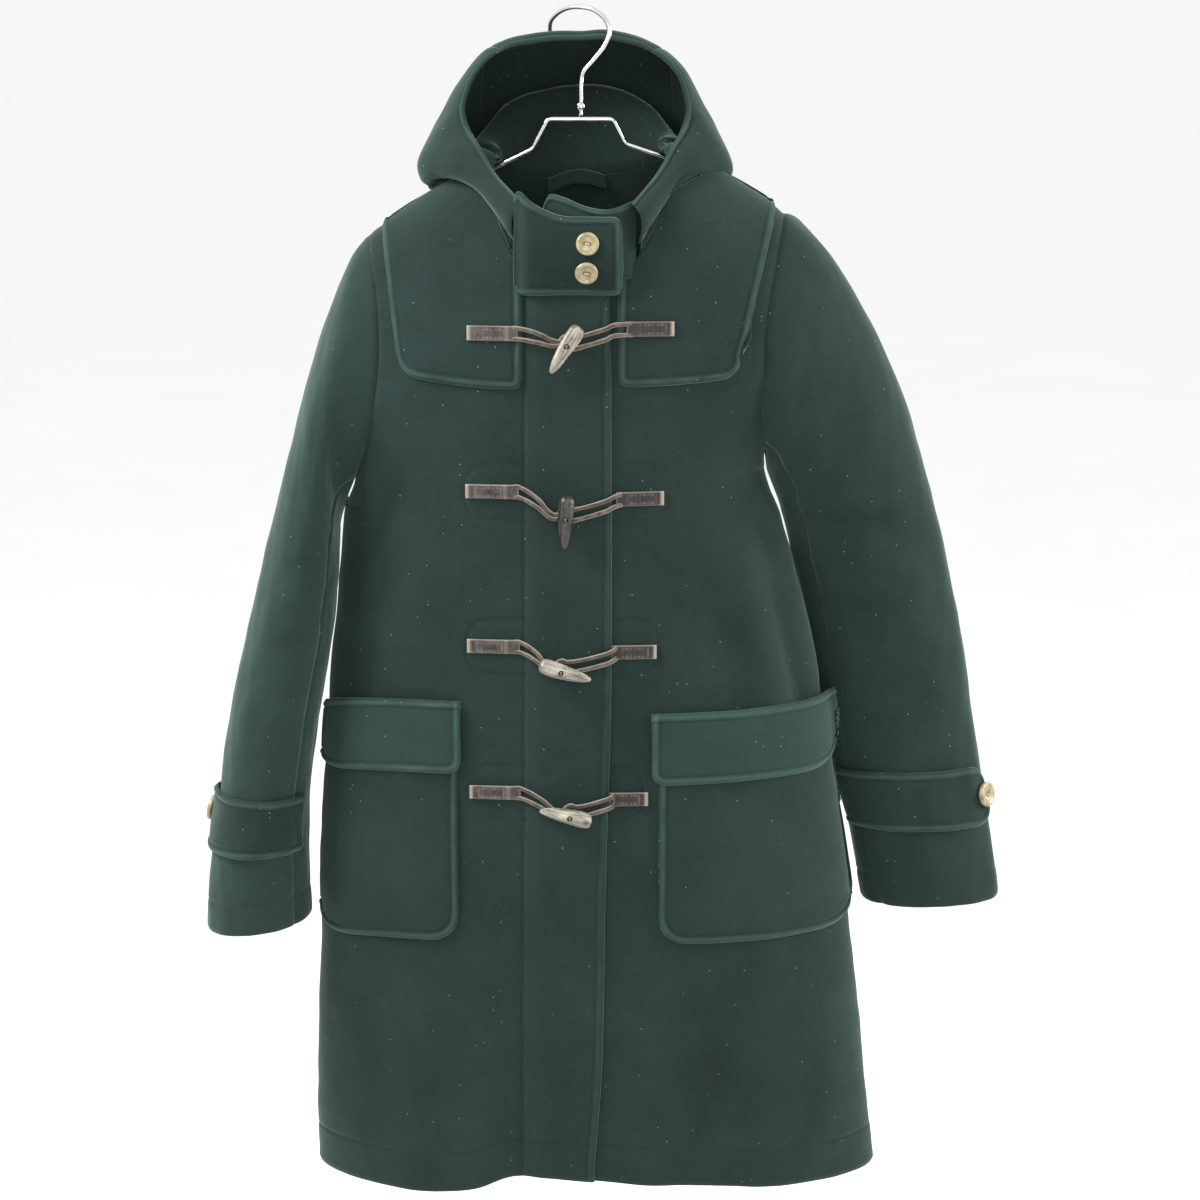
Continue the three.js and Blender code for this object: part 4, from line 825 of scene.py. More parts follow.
def linear(colour):
    """An sRGB hex colour as linear red, green, blue and alpha."""
    parts = [int(colour[k : k + 2], 16) / 255 for k in (1, 3, 5)]
    return tuple(c / 12.92 if c <= 0.04045 else ((c + 0.055) / 1.055) ** 2.4 for c in parts) + (1.0,)


def add(tree, kind, inputs=None, **settings):
    """Adds a node with its settings; an input is a value or the socket that feeds it."""
    made = tree.nodes.new(kind)
    for key, value in settings.items():
        setattr(made, key, value)
    for key, value in (inputs or {}).items():
        if isinstance(value, bpy.types.NodeSocket):
            tree.links.new(value, made.inputs[key])
        else:
            made.inputs[key].default_value = value
    return made


def start_material(name, **values):
    """A material with its Principled shader set to these values, keyed by socket name with _ for spaces."""
    made = bpy.data.materials.new(name)
    made.use_nodes = True
    shader = made.node_tree.nodes["Principled BSDF"]
    for key, value in values.items():
        shader.inputs[key.replace("_", " ")].default_value = value
    return made, made.node_tree, shader


def per_mm(size):
    """Noise scale for features of this size in millimetres, in object coordinates."""
    return 1 / (size * MM)


def noise(tree, where, size, detail=2.0, roughness=0.5):
    made = add(
        tree, "ShaderNodeTexNoise", {"Vector": where, "Scale": per_mm(size), "Detail": detail, "Roughness": roughness}
    )
    return made.outputs["Fac"]


def melton_wool():
    """Milled melton: a dense matt felt whose raised nap catches light at grazing angles, slightly mottled,
    with a little pale lint. The fibres are 0.03 mm, so the nap is drawn at 1.5 mm to show."""
    made, tree, shader = start_material(
        "melton_wool_milled",
        Roughness=0.95,
        Sheen_Weight=0.38,
        Sheen_Roughness=0.42,
        Sheen_Tint=linear("#a9c6b8"),
        IOR=1.54,
        Specular_IOR_Level=0.16,
    )
    where = add(tree, "ShaderNodeTexCoord").outputs["Object"]
    drift = noise(tree, where, 85)
    clump = noise(tree, where, 9, detail=3.0)
    nap = noise(tree, where, 1.5, detail=3.0, roughness=0.7)
    slow = add(tree, "ShaderNodeMath", {0: drift, 1: 0.3}, operation="MULTIPLY").outputs[0]
    middle_size = add(tree, "ShaderNodeMath", {0: clump, 1: 0.14, 2: slow}, operation="MULTIPLY_ADD").outputs[0]
    tone = add(tree, "ShaderNodeMath", {0: nap, 1: 0.4, 2: middle_size}, operation="MULTIPLY_ADD").outputs[0]
    ramp = add(tree, "ShaderNodeValToRGB", {"Fac": tone})
    ramp.color_ramp.elements[0].position = 0.3
    ramp.color_ramp.elements[0].color = linear("#111b19")
    ramp.color_ramp.elements[1].position = 0.56
    ramp.color_ramp.elements[1].color = linear("#1b2a28")
    # Painted light and shade: the attribute mixes in the lighter #3a544d, for real edge wear and for painted light
    # (raised cloth, edge puffs and brightly lit pieces lighter, troughs darker); `worn` is this mix, wear and painted
    # light together.
    wear_and_shading = add(tree, "ShaderNodeAttribute", attribute_name="wear_and_shading").outputs["Fac"]
    worn = add(tree, "ShaderNodeMath", {0: wear_and_shading, 1: 0.42}, operation="MULTIPLY").outputs[0]
    with_wear_and_shading = add(
        tree, "ShaderNodeMix", {0: worn, 6: ramp.outputs["Color"], 7: linear("#3a544d")}, data_type="RGBA"
    ).outputs[2]
    specks = add(tree, "ShaderNodeTexVoronoi", {"Vector": where, "Scale": per_mm(8)})
    near = add(
        tree, "ShaderNodeMapRange",
        {"Value": specks.outputs["Distance"], "From Min": 0.04, "From Max": 0.08, "To Min": 1.0, "To Max": 0.0},
    ).outputs["Result"]
    pick = add(tree, "ShaderNodeSeparateColor", {"Color": specks.outputs["Color"]}).outputs["Red"]
    some = add(tree, "ShaderNodeMath", {0: pick, 1: 0.72}, operation="GREATER_THAN").outputs[0]
    lint = add(tree, "ShaderNodeMath", {0: near, 1: some}, operation="MULTIPLY").outputs[0]
    faint = add(tree, "ShaderNodeMath", {0: lint, 1: 0.5}, operation="MULTIPLY").outputs[0]
    colour = add(
        tree, "ShaderNodeMix", {0: faint, 6: with_wear_and_shading, 7: linear("#9db0a8")}, data_type="RGBA"
    ).outputs[2]
    tree.links.new(colour, shader.inputs["Base Color"])
    rough = add(tree, "ShaderNodeMath", {0: nap, 1: 0.6, 2: clump}, operation="MULTIPLY_ADD").outputs[0]
    bump = add(tree, "ShaderNodeBump", {"Strength": 0.55, "Distance": 0.6 * MM, "Height": rough})
    tree.links.new(bump.outputs["Normal"], shader.inputs["Normal"])
    return made


def sewing_thread():
    """Matched polyester thread: smooth, a shade darker than the wool and a little shinier."""
    made, tree, shader = start_material("polyester_thread_spun", Roughness=0.6, IOR=1.5, Specular_IOR_Level=0.3)
    where = add(tree, "ShaderNodeTexCoord").outputs["Object"]
    twist = noise(tree, where, 0.7)
    ramp = add(tree, "ShaderNodeValToRGB", {"Fac": twist})
    ramp.color_ramp.elements[0].color = linear("#141f1d")
    ramp.color_ramp.elements[1].color = linear("#22332f")
    tree.links.new(ramp.outputs["Color"], shader.inputs["Base Color"])
    return made


def worn_leather(name, dark, pale):
    """Finished cowhide whose brown top coat has worn to grey at edges and creases: semi-matt with fine cracks."""
    made, tree, shader = start_material(name, Roughness=0.6, IOR=1.5, Specular_IOR_Level=0.4)
    where = add(tree, "ShaderNodeTexCoord").outputs["Object"]
    stain = noise(tree, where, 7, detail=3.0)
    crack = noise(tree, where, 1.1, detail=4.0, roughness=0.7)
    both = add(tree, "ShaderNodeMath", {0: crack, 1: 0.5, 2: stain}, operation="MULTIPLY_ADD").outputs[0]
    ramp = add(tree, "ShaderNodeValToRGB", {"Fac": both})
    ramp.color_ramp.elements[0].position = 0.55
    ramp.color_ramp.elements[0].color = linear(dark)
    ramp.color_ramp.elements[1].position = 0.95
    ramp.color_ramp.elements[1].color = linear(pale)
    wear_and_shading = add(tree, "ShaderNodeAttribute", attribute_name="wear_and_shading").outputs["Fac"]
    colour = add(
        tree, "ShaderNodeMix", {0: wear_and_shading, 6: ramp.outputs["Color"], 7: linear("#857b6e")}, data_type="RGBA"
    ).outputs[2]
    tree.links.new(colour, shader.inputs["Base Color"])
    gloss = add(tree, "ShaderNodeMapRange", {"Value": stain, "To Min": 0.5, "To Max": 0.75}).outputs["Result"]
    tree.links.new(gloss, shader.inputs["Roughness"])
    bump = add(tree, "ShaderNodeBump", {"Strength": 0.5, "Distance": 0.25 * MM, "Height": crack})
    tree.links.new(bump.outputs["Normal"], shader.inputs["Normal"])
    return made


def buffalo_horn(name, dark, mid, pale):
    """Cut and tumbled horn: layered lengthwise streaks, half polished."""
    made, tree, shader = start_material(name, Roughness=0.38, IOR=1.56, Specular_IOR_Level=0.5)
    along = add(tree, "ShaderNodeTexCoord").outputs["UV"]
    stretched = add(tree, "ShaderNodeMapping", {"Vector": along, "Scale": (9.0, 1.6, 1.0)}).outputs["Vector"]
    streak = add(
        tree, "ShaderNodeTexNoise", {"Vector": stretched, "Scale": 1.6, "Detail": 5.0, "Roughness": 0.65, "Distortion": 0.4}
    ).outputs["Fac"]
    ramp = add(tree, "ShaderNodeValToRGB", {"Fac": streak})
    ramp.color_ramp.elements[0].position = 0.34
    ramp.color_ramp.elements[0].color = linear(dark)
    ramp.color_ramp.elements[1].position = 0.68
    ramp.color_ramp.elements[1].color = linear(pale)
    ramp.color_ramp.elements.new(0.5).color = linear(mid)
    tree.links.new(ramp.outputs["Color"], shader.inputs["Base Color"])
    gloss = add(tree, "ShaderNodeMapRange", {"Value": streak, "To Min": 0.25, "To Max": 0.6}).outputs["Result"]
    tree.links.new(gloss, shader.inputs["Roughness"])
    bump = add(tree, "ShaderNodeBump", {"Strength": 0.45, "Distance": 0.35 * MM, "Height": streak})
    tree.links.new(bump.outputs["Normal"], shader.inputs["Normal"])
    return made


def corozo_button():
    """Turned corozo nut: olive tan with faint cloudy grain under a soft polish."""
    made, tree, shader = start_material("corozo_nut_polished", Roughness=0.35, IOR=1.53, Coat_Weight=0.15)
    where = add(tree, "ShaderNodeTexCoord").outputs["Object"]
    cloud = noise(tree, where, 6, detail=4.0, roughness=0.6)
    ramp = add(tree, "ShaderNodeValToRGB", {"Fac": cloud})
    ramp.color_ramp.elements[0].position = 0.3
    ramp.color_ramp.elements[0].color = linear("#665c42")
    ramp.color_ramp.elements[1].position = 0.72
    ramp.color_ramp.elements[1].color = linear("#a19570")
    tree.links.new(ramp.outputs["Color"], shader.inputs["Base Color"])
    return made


def plated_wire():
    """Nickel-plated steel wire: a bright mirror with a faint drawn grain."""
    made, tree, shader = start_material("steel_wire_nickel_plated", Metallic=1.0, Roughness=0.16)
    where = add(tree, "ShaderNodeTexCoord").outputs["Object"]
    haze = noise(tree, where, 3, detail=3.0)
    ramp = add(tree, "ShaderNodeValToRGB", {"Fac": haze})
    ramp.color_ramp.elements[0].color = linear("#c9cbc8")
    ramp.color_ramp.elements[1].color = linear("#e4e5e2")
    tree.links.new(ramp.outputs["Color"], shader.inputs["Base Color"])
    gloss = add(tree, "ShaderNodeMapRange", {"Value": haze, "To Min": 0.1, "To Max": 0.24}).outputs["Result"]
    tree.links.new(gloss, shader.inputs["Roughness"])
    return made


def painted_floor():
    """Matt white emulsion, nearly even."""
    made, tree, shader = start_material("floor_matt_white_emulsion", Roughness=0.9)
    where = add(tree, "ShaderNodeTexCoord").outputs["Object"]
    ramp = add(tree, "ShaderNodeValToRGB", {"Fac": noise(tree, where, 300)})
    ramp.color_ramp.elements[0].color = linear("#f4f4f4")
    ramp.color_ramp.elements[1].color = linear("#f8f8f8")
    tree.links.new(ramp.outputs["Color"], shader.inputs["Base Color"])
    return made


MELTON = melton_wool()
THREAD = sewing_thread()
LEATHER = worn_leather("cowhide_worn_grey_brown", "#191513", "#463d39")
DARK_LEATHER = worn_leather("cowhide_dark_brown", "#0f0b0a", "#2a2321")
CORD_LEATHER = worn_leather("cowhide_thong_worn", "#1f1a16", "#5a5044")
HORN = buffalo_horn("buffalo_horn_grey_tumbled", "#35332e", "#736f64", "#a39e8d")
DARK_HORN = buffalo_horn("buffalo_horn_black_polished", "#0b0b0a", "#1d1b18", "#4a463e")
COROZO = corozo_button()
STEEL = plated_wire()
FLOOR = painted_floor()


# Body panels


def panel(face, side, tops, lows, place, marks_x=(), marks_z=(), trim=None):
    """One panel: columns run from the side to the other edge, rows from the hem to the shoulder and neck.

    `tops` are the x of evenly numbered columns at the top and `lows` gives their x lower down."""
    hole = ARMHOLES[side]
    under_x, under_z = hole["under"]
    last = len(tops) - 1
    dense = np.linspace(0, last, 800)
    spread = lows(dense, smooth(BODY, side, "z", -700.0), -700.0)
    run = np.abs(spread - spread[0])
    marks = [abs(m - spread[0]) for m in marks_x]
    column = np.interp(graded(0, run[-1], [0, run[-1], *marks]), run, dense)
    top_x = np.interp(column, np.arange(last + 1), tops)
    levels = graded(BACK_HEM, under_z, [BACK_HEM, BACK_HEM + HEM_STITCH, *marks_z])
    rows = []
    for level in levels[:-1]:
        t = (level - BACK_HEM) / (under_z - BACK_HEM)
        side_z = lerp(hem_z(smooth(BODY, side, "z", BODY["z"][0]), face), under_z, t)
        x = lows(column, smooth(BODY, side, "z", side_z), side_z)
        rows.append(place(x, lerp(hem_z(x, face), underarm(x), t))[0])
    low = lows(column, under_x, under_z)
    from_edge = (low - low[-1]) / (under_x - low[-1])
    for angle in np.linspace(180, 0, 96):
        t = (1 + math.cos(math.radians(angle))) / 2
        x = lerp(low, top_x, t) + hole["scoop"] * 4 * t * (1 - t) * from_edge**2
        top = panel_top(top_x, face)
        if trim is not None:
            top = top - trim(top_x) * smoothstep(t, 0.5, 1)
        row = place(x, lerp(underarm(x), top, t))[0]
        row[0] = armhole_point(side, angle if face == "front" else -angle)
        rows.append(row)
    return np.array(rows)


def hem_z(x, face):
    return smooth(HEM, "z", "x", x) if face == "front" else np.full(np.shape(x), BACK_HEM)


def shoulder_columns(tip, count):
    return [lerp(tip, math.copysign(NECK["half"], tip), k / count) for k in range(count)]


def corner_drop(x):
    d = LAP["corner"] - (FRONT_EDGE["x"][-1] - x)
    return np.where(d <= 0, 0, LAP["corner"] - np.sqrt(np.maximum(0, LAP["corner"] ** 2 - d * d)))


def oval_distance(x, z, row, reach):
    """Distance from the stitched half oval of one row, that reaches to x = reach."""
    centre = -50.0 if reach < 0 else 20.0
    half = abs(reach - centre)
    dx = np.abs(x - centre) - (half - OVALS["corner"][row])
    dz = np.abs(z - OVALS["z"][row]) - (OVALS["half"][row] - OVALS["corner"][row])
    outside = np.hypot(np.maximum(dx, 0), np.maximum(dz, 0))
    return np.abs(outside + np.minimum(np.maximum(dx, dz), 0) - OVALS["corner"][row])


def oval_route(row, reach):
    """Points of that half oval, from its lower end round to its upper end."""
    z, half, r = OVALS["z"][row], OVALS["half"][row], OVALS["corner"][row]
    centre = -51.0 if reach < 0 else float(edge_x(OVALS["z"][row])) + 3
    sign = math.copysign(1, reach)
    turn = np.radians(np.linspace(-90, 90, 24))
    bend_x = reach - sign * r + sign * r * np.cos(turn)
    bend_z = z + np.sign(turn) * (half - r) + r * np.sin(turn)
    x = np.concatenate([[centre], bend_x, [centre]])
    return x, np.concatenate([[z - half], bend_z, [z + half]])


def oval_marks():
    """Heights round which the rows of a panel lie close, for the half ovals."""
    return [z + k * half for z, half in zip(OVALS["z"], OVALS["half"]) for k in (-1, 1)]


def front_relief(grid):
    x, z = grid[..., 0], grid[..., 2]
    calm = 1 - 0.7 * np.exp(-(((x - 0) / 70) ** 4))  # the toggles hold the middle flat
    side = 3.2 * smoothstep(np.abs(across(x, z, "front")), 0.88, 1.0)
    near_sleeve = smoothstep(z, -640.0, -560.0) * smoothstep(-z, 425.0, 455.0)
    return (crease_height(x, z, CREASES["front"]) + slow_waves(x, z)) * calm + side * near_sleeve


def build_fronts():
    tops = [*shoulder_columns(-189, 4), -79, -73, -63, LAP["low"], LAP["high"], -14, 6, 18, FRONT_EDGE["x"][-1]]
    step, strip = 7, 4

    def lows(i, side_x, z):
        outer = lerp(side_x, LAP["low"], np.clip(i / step, 0, 1) ** 1.3)
        inner = lerp(LAP["high"], edge_x(z), np.clip((i - step - 1) / strip, 0, 1))
        between = lerp(LAP["low"], LAP["high"], i - step)
        return np.where(i <= step, outer, np.where(i >= step + 1, inner, between))

    grid = panel(
        "front", "left", tops, lows, on_lap, marks_x=[-49, -100], marks_z=oval_marks(), trim=corner_drop
    )
    x, z = grid[..., 0], grid[..., 2]
    placket = placket_x(z)
    cut = groove(x - placket, 1.3, 1.9) + groove(above_hem(grid, "front") - HEM_STITCH, 0.9, 1.7)
    for row in range(len(OVALS["z"])):
        outside = smoothstep(-x, 48.0, 50.0)
        cut = cut + groove(oval_distance(x, z, row, OVALS["left"][row]), 1.1, 1.8) * outside
    wool_piece(
        "front_right", grid, (0, -1, 0), stitched=[("end",)], seams=[("start",), ("low",)], relief=front_relief(grid), cut=cut,
        puff=0.25, worn=0.25,
    )
    sew_on("front_right", [(placket_x(z), z) for z in np.linspace(-1066, -236, 200)], on_lap)
    for row in range(len(OVALS["z"])):
        sew_on("front_right", list(zip(*oval_route(row, OVALS["left"][row]))), on_lap)
    sew_on("front_right", [(x, hem_z(x, "front") + HEM_STITCH) for x in np.linspace(-232, 8, 80)], on_lap)

    round_neck = [
        lerp(NECK["half"], UNDERLAP_EDGE, (1 - math.cos(math.pi * k / 8)) / 2) for k in range(9)
    ]
    tops = [*shoulder_columns(182, 4), *round_neck]
    last = len(tops) - 1
    grid = panel(
        "front",
        "right",
        tops,
        lambda i, side_x, z: lerp(side_x, UNDERLAP_EDGE, (i / last) ** 1.45),
        lambda x, z: on_body(x, z, "front"),
        marks_x=[52, 66, 76],
        marks_z=oval_marks(),
    )
    x, z = grid[..., 0], grid[..., 2]
    cut = groove(above_hem(grid, "front") - HEM_STITCH, 0.9, 1.7)
    for row in range(len(OVALS["z"])):
        cut = cut + groove(oval_distance(x, z, row, OVALS["right"][row]), 1.1, 1.8) * (x > 12)
    wool_piece("front_left", grid, (0, -1, 0), seams=[("start",), ("low",)], relief=front_relief(grid), cut=cut)
    flat = lambda x, z: on_body(x, z, "front")
    for row in range(len(OVALS["z"])):
        sew_on("front_left", list(zip(*oval_route(row, OVALS["right"][row]))), flat)
    sew_on("front_left", [(x, hem_z(x, "front") + HEM_STITCH) for x in np.linspace(16, 262, 90)], flat)


def placket_x(z):
    return np.interp(z, [-1066, -900, -600, -250], [-54.5, -53.0, -50.0, -48.5])


def above_hem(grid, face):
    x, z = grid[..., 0], grid[..., 2]
    return z - hem_z(x, face)


def sew_on(node, route, place):
    """A row of stitches along (x, z) points on a panel."""
    x, z = np.array(route, float).T
    piece = wool_pieces[node]
    sew(place(x, z)[0], piece["outer"], piece["normals"])


def build_back():
    halves = []
    for side, tip in (("left", -189), ("right", 182)):
        neck_x = math.copysign(NECK["half"], tip)
        tops = [*shoulder_columns(tip, 4), *[neck_x * math.cos(math.pi * k / 8) for k in range(5)]]
        last = len(tops) - 1
        halves.append(
            panel(
                "back",
                side,
                tops,
                lambda i, side_x, z: lerp(side_x, 0, (i / last) ** 1.45),
                lambda x, z: on_body(x, z, "back"),
                marks_z=(),
            )
        )
    rows = min(len(h) for h in halves)
    halves = [spline(h, np.linspace(0, len(h) - 1, rows)) for h in halves]
    grid = np.concatenate([halves[0], halves[1][:, -2::-1]], axis=1)
    x, z = grid[..., 0], grid[..., 2]
    relief = crease_height(x, z, CREASES["back"]) + slow_waves(x + 400, z)
    cut = groove(above_hem(grid, "back") - HEM_STITCH, 0.9, 1.7)
    wool_piece("back", grid, (0, 1, 0), seams=[("start",), ("end",), ("low",)], relief=relief, cut=cut)
    sew_on("back", [(x, BACK_HEM + HEM_STITCH) for x in np.linspace(-236, 264, 160)], lambda x, z: on_body(x, z, "back"))


# Sleeves and cuff straps

WEARER = {"left": "right", "right": "left"}  # the picture's left is the wearer's right


def sleeve_rings(side, angles):
    s = {key: column[:, None] for key, column in SLEEVES[side].items()}
    c, sine = np.cos(np.radians(angles)), np.sin(np.radians(angles))
    depth = np.where(sine > 0, s["front"], s["back"])
    t = (1 + c) / 2
    rings = np.stack(
        [lerp(s["inner_x"], s["outer_x"], t), s["mid_y"] - depth * sine, lerp(s["inner_z"], s["outer_z"], t)], axis=-1
    )
    return np.concatenate([armhole_point(side, angles)[None], rings])


def build_sleeve(side):
    count = len(SLEEVES[side]["outer_x"])
    down = np.concatenate([np.linspace(0, count - 0.5, 118)[:-1], count - 0.5 + np.linspace(0, 0.5, 16)])
    for name, low, high in (("top", -SEAM_ANGLE, SEAM_ANGLE), ("under", SEAM_ANGLE, 360 - SEAM_ANGLE)):
        angles = graded(low, high, [low, high], fine=1.0, coarse=3.2, reach=(5, 12))
        rings = sleeve_rings(side, angles)
        grid = spline(rings, down)
        axis = grid.mean(axis=1, keepdims=True) if name == "top" else sleeve_axis(side, down)
        outer_z = spline(rings[:, [len(angles) // 2]], down)[..., 2] if name == "top" else grid[..., 2]
        turned = np.broadcast_to(np.where(angles > 180, angles - 360, angles) * 1.2, grid.shape[:2])
        level = np.broadcast_to(outer_z, grid.shape[:2]) if name == "top" else grid[..., 2]
        relief = crease_height(turned, level, CREASES["sleeve_" + side]) + slow_waves(turned * 1.3 + 90, level)
        relief = relief * smoothstep(np.arange(len(down))[:, None], 0, 14)
        cuff = grid[-1:]
        rise = np.linalg.norm(grid - cuff, axis=-1)
        cut = groove(rise - CUFF_STITCH, 0.9, 1.7)
        node = f"sleeve_{name}_{WEARER[side]}"
        wool_piece(
            node, grid, grid - axis, seams=[("start",), ("end",), ("low",), ("high",)], relief=relief, cut=cut,
            tone=SLEEVE_PAINTED_LIGHT[side],
        )
        row = np.argmin(np.abs(rise - CUFF_STITCH), axis=0)
        line = wool_pieces[node]["outer"][row, np.arange(grid.shape[1])]
        sew(line, wool_pieces[node]["outer"], wool_pieces[node]["normals"])


def sleeve_axis(side, down):
    rings = sleeve_rings(side, np.arange(0, 360, 20))
    return spline(rings.mean(axis=1, keepdims=True), down)


def cuff_point(side, level, angle, off):
    """Points on a sleeve where its outer edge has the height `level`, moved out by `off`, and their normals."""

    def point(height, turn):
        at = {key: smooth(SLEEVES[side], key, "outer_z", height) for key in SLEEVES[side]}
        c, sine = np.cos(np.radians(turn)), np.sin(np.radians(turn))
        depth = np.where(sine > 0, at["front"], at["back"])
        reach_x = (at["outer_x"] - at["inner_x"]) / 2
        reach_z = (height - at["inner_z"]) / 2
        return np.stack(
            [at["outer_x"] + reach_x * (c - 1), at["mid_y"] - depth * sine, height + reach_z * (c - 1)], axis=-1
        )

    p = point(level, angle)
    n = unit(np.cross(point(level, angle + 1) - point(level, angle - 1), point(level + 1, angle) - point(level - 1, angle)))
    if side == "right":
        n = -n
    return p + n * off, n


def corner(d, r):
    """Rise of a rounded corner of radius r at distance d from the edge."""
    return np.where(d >= r, 0, r - np.sqrt(np.maximum(0, r * r - (r - np.minimum(d, r)) ** 2)))


def build_cuff_strap(side):
    strap = CUFF_STRAPS[side]
    radius = (strap["high"] - strap["low"]) / 2
    span = abs(strap["end"] - strap["start"])
    angle = strap["start"] + math.copysign(1, strap["end"] - strap["start"]) * graded(
        0, span, [0, span], fine=1.3, coarse=3.0, reach=(12, 24)
    )
    rounded = corner(np.abs(angle - strap["end"]) / STRAP_END * radius, radius) * 0.8
    up = graded(0, 1, [0, 1], fine=0.022, coarse=0.07, reach=(0.2, 0.35))[:, None]
    level = lerp(strap["low"] + rounded, strap["high"] - rounded, up)
    grid, normals = cuff_point(side, level, np.broadcast_to(angle, level.shape), STRAP_OFF)
    wave = slow_waves(grid[..., 0] * 2 + grid[..., 1] * 2, grid[..., 2]) * 1.2
    wool_piece(
        "cuff_strap_" + WEARER[side], grid, normals, stitched=[("low", "end", "high")], seams=[("start",)],
        relief=wave, puff=0.8,
    )
    spot, out = cuff_point(
        side, np.array(strap["low"] + radius), np.array(float(strap["button"])), STRAP_OFF + LAYER_GAP + 0.4
    )
    build_button("cuff_button_" + WEARER[side], CUFF_BUTTON, spot, out)


# Pieces laid on the body


def patch(bottom, top, rows, place):
    """Columns run from a bottom point to a top point; `rows` are shares of the way up."""
    (low_x, low_z), (top_x, top_z) = bottom, top
    rows = np.asarray(rows)[:, None]
    return place(lerp(low_x, top_x, rows), lerp(low_z, top_z, rows))[0]


def build_front_yoke(side):
    yoke = YOKES[side]
    sign = -1 if side == "left" else 1
    place = (lambda x, z: on_lap(x, z, ON_BODY)) if side == "left" else (lambda x, z: on_body(x, z, "front", ON_BODY))
    width = abs(yoke["outer_low"] - yoke["inner"])
    d = graded(0, width, [0, width], fine=1.3, coarse=4.2, reach=(14, 26))
    low_z = yoke["bottom"] + corner(d, yoke["corner"]) + corner(width - d, yoke["inner_corner"])
    low_z = low_z + yoke["climb"] * (1 - d / width) ** 2
    low_x = yoke["outer_low"] - sign * d
    top_x = lerp(yoke["outer_top"], yoke["inner"], d / width)
    top_z = panel_top(top_x, "front") - 0.9
    rows = 1 - (1 - graded(0, 1, [0], fine=0.006, coarse=0.022, reach=(0.05, 0.12))) ** 1.6
    grid = patch((low_x, low_z), (top_x, top_z), rows, place)
    x, z = grid[..., 0], grid[..., 2]
    wool_piece(
        "yoke_front_" + WEARER[side], grid, (0, -1, 0), stitched=[("start", "low", "end")], relief=slow_waves(x, z),
        puff=0.8,
    )


def build_back_yoke():
    yoke = YOKES["back"]
    start, end = YOKES["left"]["outer_top"], YOKES["right"]["outer_top"]
    d = graded(0, end - start, [0, end - start], fine=1.6, coarse=4.6, reach=(14, 30))
    share = d / (end - start)
    top_x = start + d
    low_x = lerp(start + yoke["inset"], end - yoke["inset"], share)
    low_z = yoke["bottom"] + corner(np.minimum(share, 1 - share) * (end - start - 2 * yoke["inset"]), yoke["corner"])
    rows = 1 - (1 - graded(0, 1, [0], fine=0.007, coarse=0.022, reach=(0.05, 0.12))) ** 1.6
    grid = patch(
        (low_x, low_z), (top_x, panel_top(top_x, "back") - 0.9), rows, lambda x, z: on_body(x, z, "back", ON_BODY)
    )
    x, z = grid[..., 0], grid[..., 2]
    relief = slow_waves(x + 400, z) + crease_height(x, z, CREASES["back"])
    wool_piece("yoke_back", grid, (0, 1, 0), stitched=[("start", "low", "end")], relief=relief, puff=0.8)


def around_x(side, angle, z):
    sign = -1 if side == "left" else 1
    return middle(z) + sign * half_width(side, z, "front") * np.cos(np.radians(angle)) ** (2 / FLATNESS["front"])


def angle_at(x, z):
    return np.degrees(np.arccos(np.clip(np.abs(across(x, z, "front")), 0, 1) ** (FLATNESS["front"] / 2)))


def round_patch(side, inner, low, high, radius, off, rows, top_sag=0.0):
    """A piece laid round the body from x = inner to the pocket's end."""
    pocket = POCKETS[side]
    place = on_lap if side == "left" else (lambda x, z, off: on_body(x, z, "front", off))
    share = (1 - np.cos(np.pi * graded(0, 1, [0, 1], fine=0.012, coarse=0.026, reach=(0.1, 0.2)))) / 2
    level = lerp(low, high, rows)[:, None]
    first = angle_at(np.full_like(level, inner), level)
    angle = lerp(first, pocket["end"], share)
    x = around_x(side, angle, np.broadcast_to(level, angle.shape))
    from_edge = np.minimum(np.abs(x - inner), (1 - share) * 2.5 * radius)
    z = lerp(low + corner(from_edge, radius), high, rows[:, None]) - top_sag * share**2
    return place(x, z, off)[0]


def build_pocket(side):
    name = WEARER[side]
    p = POCKETS[side]
    sag = p["sag"]
    rows = graded(0, 1, [0], fine=0.007, coarse=0.026, reach=(0.06, 0.14))
    bag = round_patch(
        side, p["inner"], p["bottom"], p["flap_bottom"] + FLAP_OVER, p["corner"], ON_BODY, rows, sag
    )
    x, z = bag[..., 0], bag[..., 2]
    middle_x = x.mean()
    fill = 2.4 * np.exp(-(((x - middle_x) / 60) ** 4)) * np.exp(-(((z + 760) / 62) ** 4))
    wool_piece(
        "pocket_" + name, bag, (0, -1, 0), stitched=[("start", "low")] if side == "left" else [("start", "low")],
        relief=slow_waves(x, z) + fill, puff=0.8,
    )
    rows = graded(0, 1, [0, 1], fine=0.018, coarse=0.05, reach=(0.18, 0.3))
    flap = round_patch(
        side, p["flap_inner"], p["flap_bottom"], p["flap_top"], FLAP_CORNER, 2 * ON_BODY, rows, sag
    )
    x, z = flap[..., 0], flap[..., 2]
    away = p["flap_out"] * smoothstep(np.linspace(0, 1, flap.shape[1]), 0.72, 1.0)
    wool_piece(
        "pocket_flap_" + name, flap, (0, -1, 0), stitched=[("start", "low"), ("high",)], relief=slow_waves(x + 30, z) + away,
        puff=1.0, tone=0.45,
    )


# Hood and neck band


